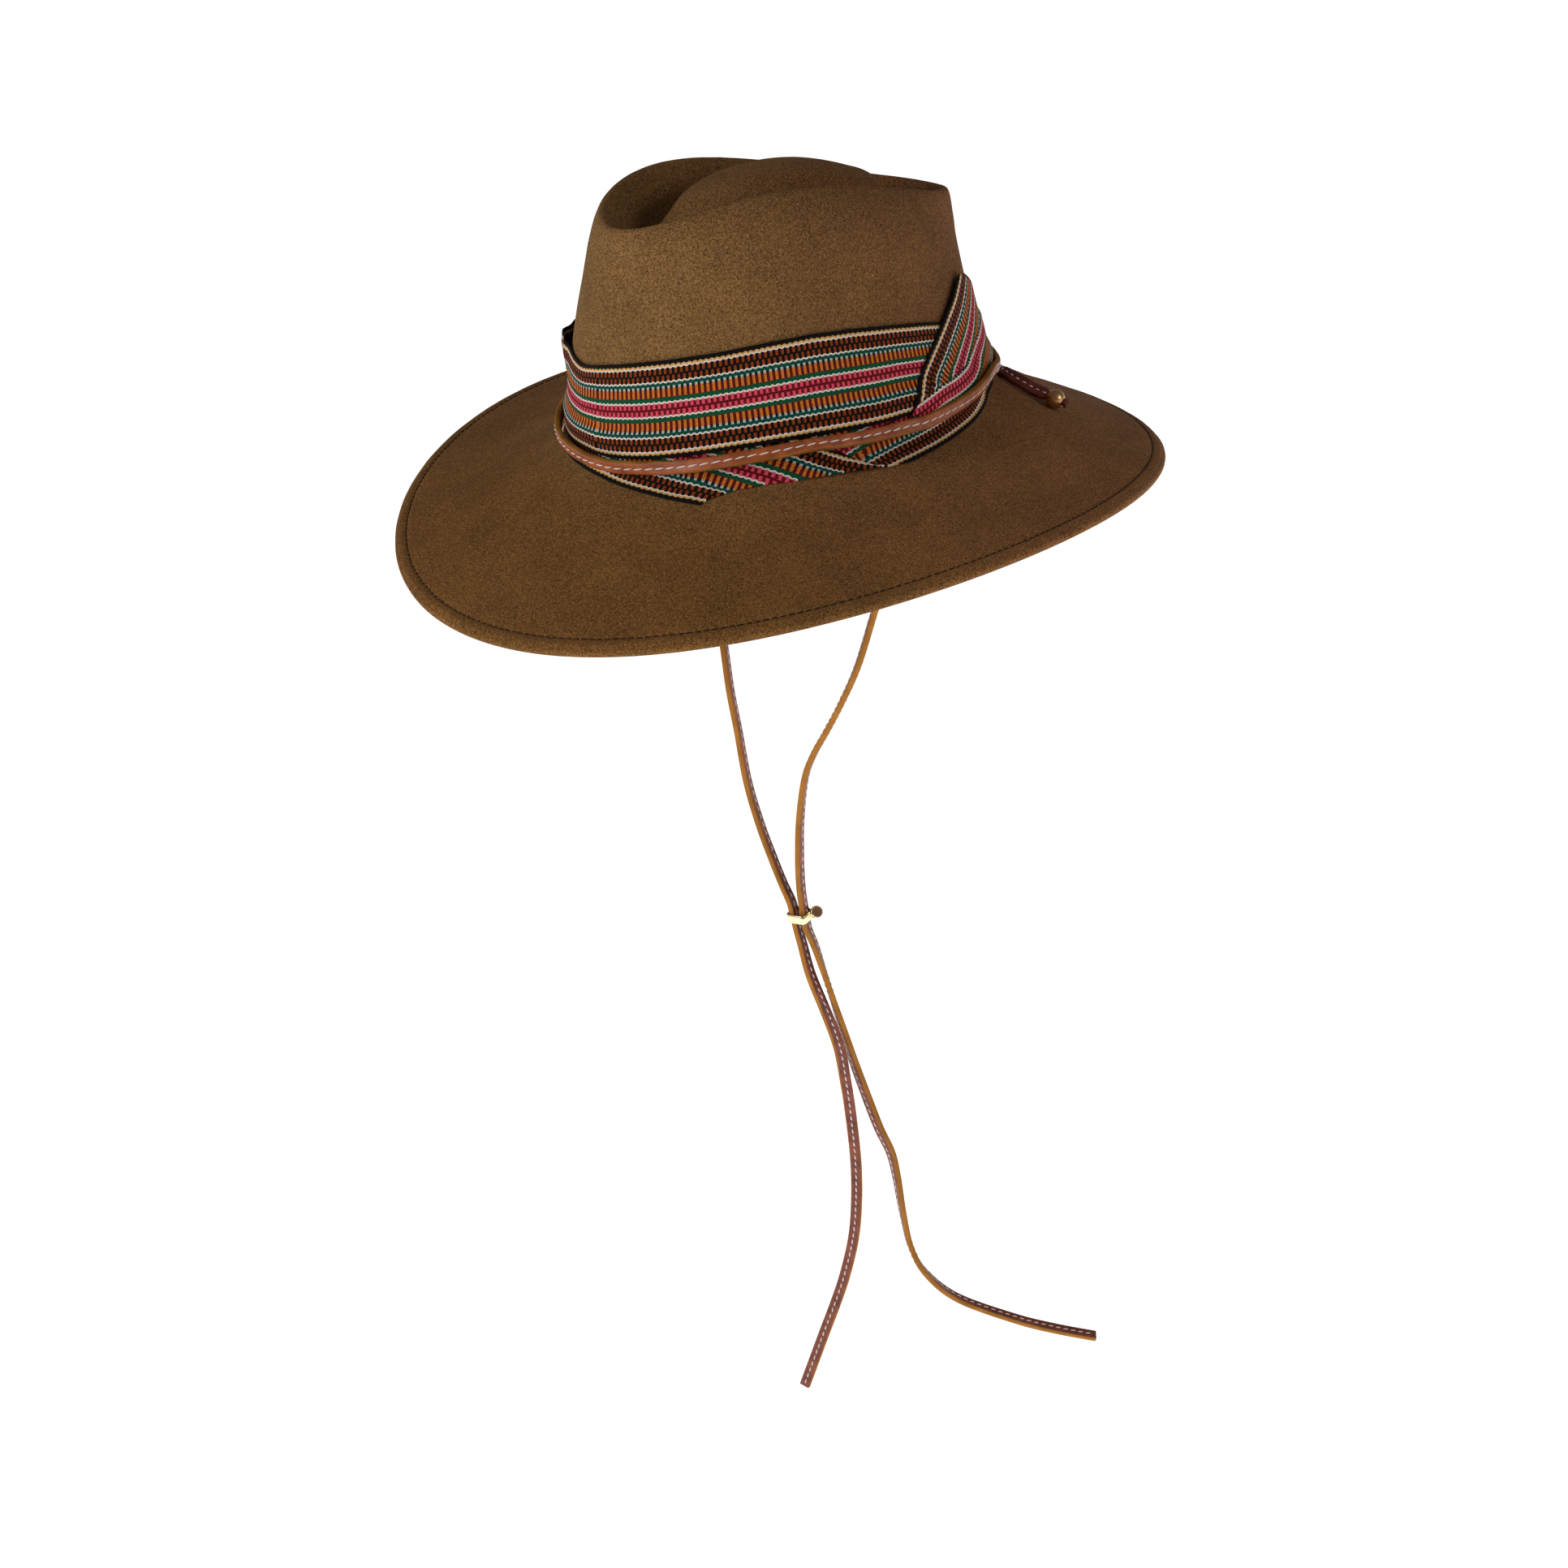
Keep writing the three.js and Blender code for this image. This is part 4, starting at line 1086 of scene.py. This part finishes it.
def route_frame(route, step):
    """The smooth centre line of a free lace with its ways across and out, its length, and
    its stations as fractions of the route's numbers."""
    table = np.asarray(route, float)
    fractions, length = smooth_route(table[:, :3], step)
    rows = spline(table, fractions)
    centres = rows[:, :3]
    turn = np.radians(rows[:, 3:])
    beside = unit(np.cross(BACK, way_along(centres)))
    faces_out = beside * np.sin(turn) + BACK * np.cos(turn)
    return framed(centres, faces_out), length, fractions


def chin_lace(name, node, route, materials, extra=()):
    """A chin lace, stitched through, from inside the crown down to its cut end."""
    line, length, _ = route_frame(route, 1.0)
    centres, sides, outs = line
    widths = np.full(len(centres), LACE_WIDTH)
    piece = sweep_lace(name, node, line, widths, CHIN_THICKNESS, materials)
    front, rear = (
        stitch_row(name + ending, face, CHIN_THICKNESS / 2, THREAD, CHIN_STITCHES)
        for ending, face in (
            ("_stitches", line), ("_back_stitches", (centres, -sides, -outs))
        )
    )


# Between which numbers of its route the tail narrows before the bead and widens behind it, and
# how much narrower it is in the bead and behind it.
TAIL_NARROWS, TAIL_WIDENS = (8.3, 9.1), (11.2, 11.9)
IN_BEAD, BEHIND_BEAD = 3.4, 1.6


def tail_widths(fractions):
    """The tail narrows to pass the bead and flares again behind it."""
    flare = smooth_step(fractions, *TAIL_WIDENS)
    squeeze = smooth_step(fractions, *TAIL_NARROWS) * (1 - flare)
    return LACE_WIDTH - squeeze * IN_BEAD - flare * BEHIND_BEAD


def tail():
    """The crown lace's free end on the brim, with its bead."""
    line, length, fractions = route_frame(TAIL_ROUTE, 0.6)
    piece = sweep_lace(
        "band_lace_tail", "band_tail", line, tail_widths(fractions), LACE_THICKNESS,
        [TAIL, TAIL_EDGE, TAIL],
    )
    stitches = stitch_row(
        "band_lace_tail_stitches", line, LACE_THICKNESS / 2, THREAD, TAIL_STITCHES
    )
    bead()


BEAD_RADIUS = 4.5
BEAD_HOLE = 1.9
TURNED_SEGMENTS = 48


def turned(name, profile, matrix, material, node):
    """A turned brass piece from a closed profile of (radius, height), placed by a matrix."""
    points = []
    for s in range(TURNED_SEGMENTS):
        turn = 2 * math.pi * s / TURNED_SEGMENTS
        for radius, height in profile:
            place = Vector((radius * math.cos(turn), radius * math.sin(turn), height))
            points.append(matrix @ place)
    faces = loft_faces(TURNED_SEGMENTS, len(profile), True)
    return make_piece(name, np.array(points), faces, [material], node)


def axis_matrix(place, axis):
    """Puts a turned piece's middle at a place and its axis along a way."""
    turn = Vector((0, 0, 1)).rotation_difference(Vector(axis)).to_matrix().to_4x4()
    return Matrix.Translation(Vector(place)) @ turn


def bead():
    table = np.array(TAIL_ROUTE)[:, :3]
    matrix = axis_matrix(table[BEAD_AT], table[BEAD_AT + 1] - table[BEAD_AT - 1])
    reach = math.acos(BEAD_HOLE / BEAD_RADIUS)
    outer = [
        (BEAD_RADIUS * math.cos(a), BEAD_RADIUS * math.sin(a))
        for a in np.linspace(-reach, reach, 25)
    ]
    return turned("tail_bead_brass", outer, matrix, BRONZE, "tail_bead")


SLIDE_HEIGHT = 4.8
SLIDE_WALL = 1.0
SLIDE_ACROSS = 9.2
SLIDE_WIDE = 7.8
SLIDE_CORNER = 1.0
SLIDE_BEVEL, BORE_BEVEL = 0.3, 0.15
SLIDE_TURN = (1, 0.3, 0)
BARREL_RADIUS = 3.2
BARREL_LENGTH = 5.0
BARREL_RIM = 0.45
BARREL_CENTRE = (4.9, -3.3, -269.8)
BARREL_TURN = (0.22, 0.28, 0)


def slide_matrix():
    """The slide stands between the laces, square to them."""
    left, right = (np.array(r)[:, :3] for r in (LEFT_ROUTE, RIGHT_ROUTE))
    along = unit(left[SLIDE_AT - 1] - left[SLIDE_AT + 1])
    across = np.array(SLIDE_TURN)
    across = unit(across - along * (across @ along))
    wide = np.cross(along, across)
    return stood_at((left[SLIDE_AT] + right[SLIDE_AT]) / 2, across, wide, along)


def rounded_rectangle(across, wide, radius, steps=6):
    points = []
    for corner, (sx, sy) in enumerate(((1, -1), (1, 1), (-1, 1), (-1, -1))):
        for a in np.radians(np.linspace(-90, 0, steps) + 90 * corner):
            x = sx * (across / 2 - radius) + radius * math.cos(a)
            y = sy * (wide / 2 - radius) + radius * math.sin(a)
            points.append((x, y))
    return points


def slide():
    """A brass sleeve bent round both laces, with a rolled barrel on one corner."""
    matrix = slide_matrix()
    half, wall = SLIDE_HEIGHT / 2, SLIDE_WALL
    rows = [
        (wall - SLIDE_BEVEL, half), (wall, half - SLIDE_BEVEL), (wall, 0),
        (wall, SLIDE_BEVEL - half), (wall - SLIDE_BEVEL, -half), (BORE_BEVEL, -half),
        (0, BORE_BEVEL - half), (0, half - BORE_BEVEL), (BORE_BEVEL, half),
    ]
    outline = rounded_rectangle(SLIDE_ACROSS, SLIDE_WIDE, SLIDE_CORNER)
    ways_out = rounded_rectangle(2.0, 2.0, 1.0)
    points = []
    for (x, y), (wx, wy) in zip(outline, ways_out):
        for grow, z in rows:
            points.append(matrix @ Vector((x + wx * grow, y + wy * grow, z)))
    faces = loft_faces(len(outline), len(rows), True)
    sleeve = make_piece("slide_sleeve", np.array(points), faces, [BRASS], "lace_slide")
    matrix = axis_matrix(BARREL_CENTRE, BACK * (1, 1, 1.2) + BARREL_TURN)
    barrel = turned("slide_barrel", barrel_profile(), matrix, BRASS, "lace_slide")
    ends = turned("slide_barrel_ends", plug_profile(), matrix, DULL_BRASS, "lace_slide")
    return [sleeve, barrel, ends]


def barrel_profile():
    """The rolled barrel: a short tube with rounded rims."""
    end, r = BARREL_LENGTH / 2, BARREL_RADIUS
    rim = [
        (r - BARREL_RIM + BARREL_RIM * math.sin(a), end - BARREL_RIM + BARREL_RIM * math.cos(a))
        for a in np.radians([0, 22, 45, 68, 90])
    ]
    upper = [(r - 0.7, end - 0.25), *rim]
    return upper + [(x, -y) for x, y in reversed(upper)]


def plug_profile():
    """The dull, slightly domed ends that close the barrel."""
    end, r = BARREL_LENGTH / 2, BARREL_RADIUS - 0.15
    dome = [(r * t, end + 0.02 - 0.1 * t * t) for t in (0.004, 0.25, 0.5, 0.75, 1)]
    return dome + [(x, -y) for x, y in reversed(dome)]


def hem_stitches():
    """The dark thread that holds the turned hem, in its groove round the brim."""
    fine = np.linspace(HEM - 1, LAST, 80)
    centres, outs = [], []
    for angle in np.linspace(0, 2 * math.pi, 721):
        place = np.interp(-STITCH_FROM_EDGE, -edge_distance(fine, angle), fine)
        outs.append(felt_normal(np.array(place), np.array(angle)))
        centres.append(felt_surface(place, angle))
    line = framed(np.array(centres), np.array(outs))
    stitch_row("hem_stitches", line, -HEM_STITCH_DEPTH, DARK_THREAD, HEM_STITCHES)


add_camera()
add_lights()
FELT = felt_material()
WOVEN = woven_material()
SADDLE = leather_material("saddle_face", (176, 94, 50), (134, 64, 26), 0.42)
SADDLE_EDGE = raw_edge_material("saddle_edge", (172, 116, 46), (118, 78, 22))
DARK = leather_material("dark_face", (150, 80, 58), (104, 48, 36), 0.45)
# Painted shade: a near-black leather for the shadowed strip of the far lace beside the slide.
SHADE_MARGIN = leather_material("painted_shade_margin", (30, 22, 18), (14, 10, 8), 0.45)
TAIL = leather_material("tail_face", (124, 50, 38), (84, 28, 24), 0.42)
TAIL_EDGE = raw_edge_material("tail_edge", (128, 62, 36), (84, 34, 24))
DARK_EDGE = raw_edge_material("dark_edge", (190, 130, 58), (158, 102, 38))
THREAD = thread_material("stitch_white", (246, 240, 238), (206, 196, 190))
DARK_THREAD = thread_material("stitch_dark", (44, 30, 20), (24, 16, 10))
BRASS = brass_material("brass_polished", (0.9, 0.72, 0.42, 1), (0.97, 0.86, 0.62, 1), 0.2)
BRONZE = brass_material("bead_bronze", (0.5, 0.27, 0.11, 1), (0.66, 0.4, 0.18, 1), 0.32)
DULL_BRASS = brass_material("brass_dull", (0.15, 0.09, 0.04, 1), (0.2, 0.125, 0.06, 1), 0.5)
add_floor()

chin_lace(
    "chin_lace_far", "chin_lace_right", RIGHT_ROUTE, [DARK, DARK_EDGE, DARK, SHADE_MARGIN], slide()
)
chin_lace("chin_lace_near", "chin_lace_left", LEFT_ROUTE, [DARK, DARK_EDGE, DARK])
tail()
felt_body()
hem_stitches()
upper_wrap()
lower_wrap()
side_fold()
far_fold()
crown_lace()
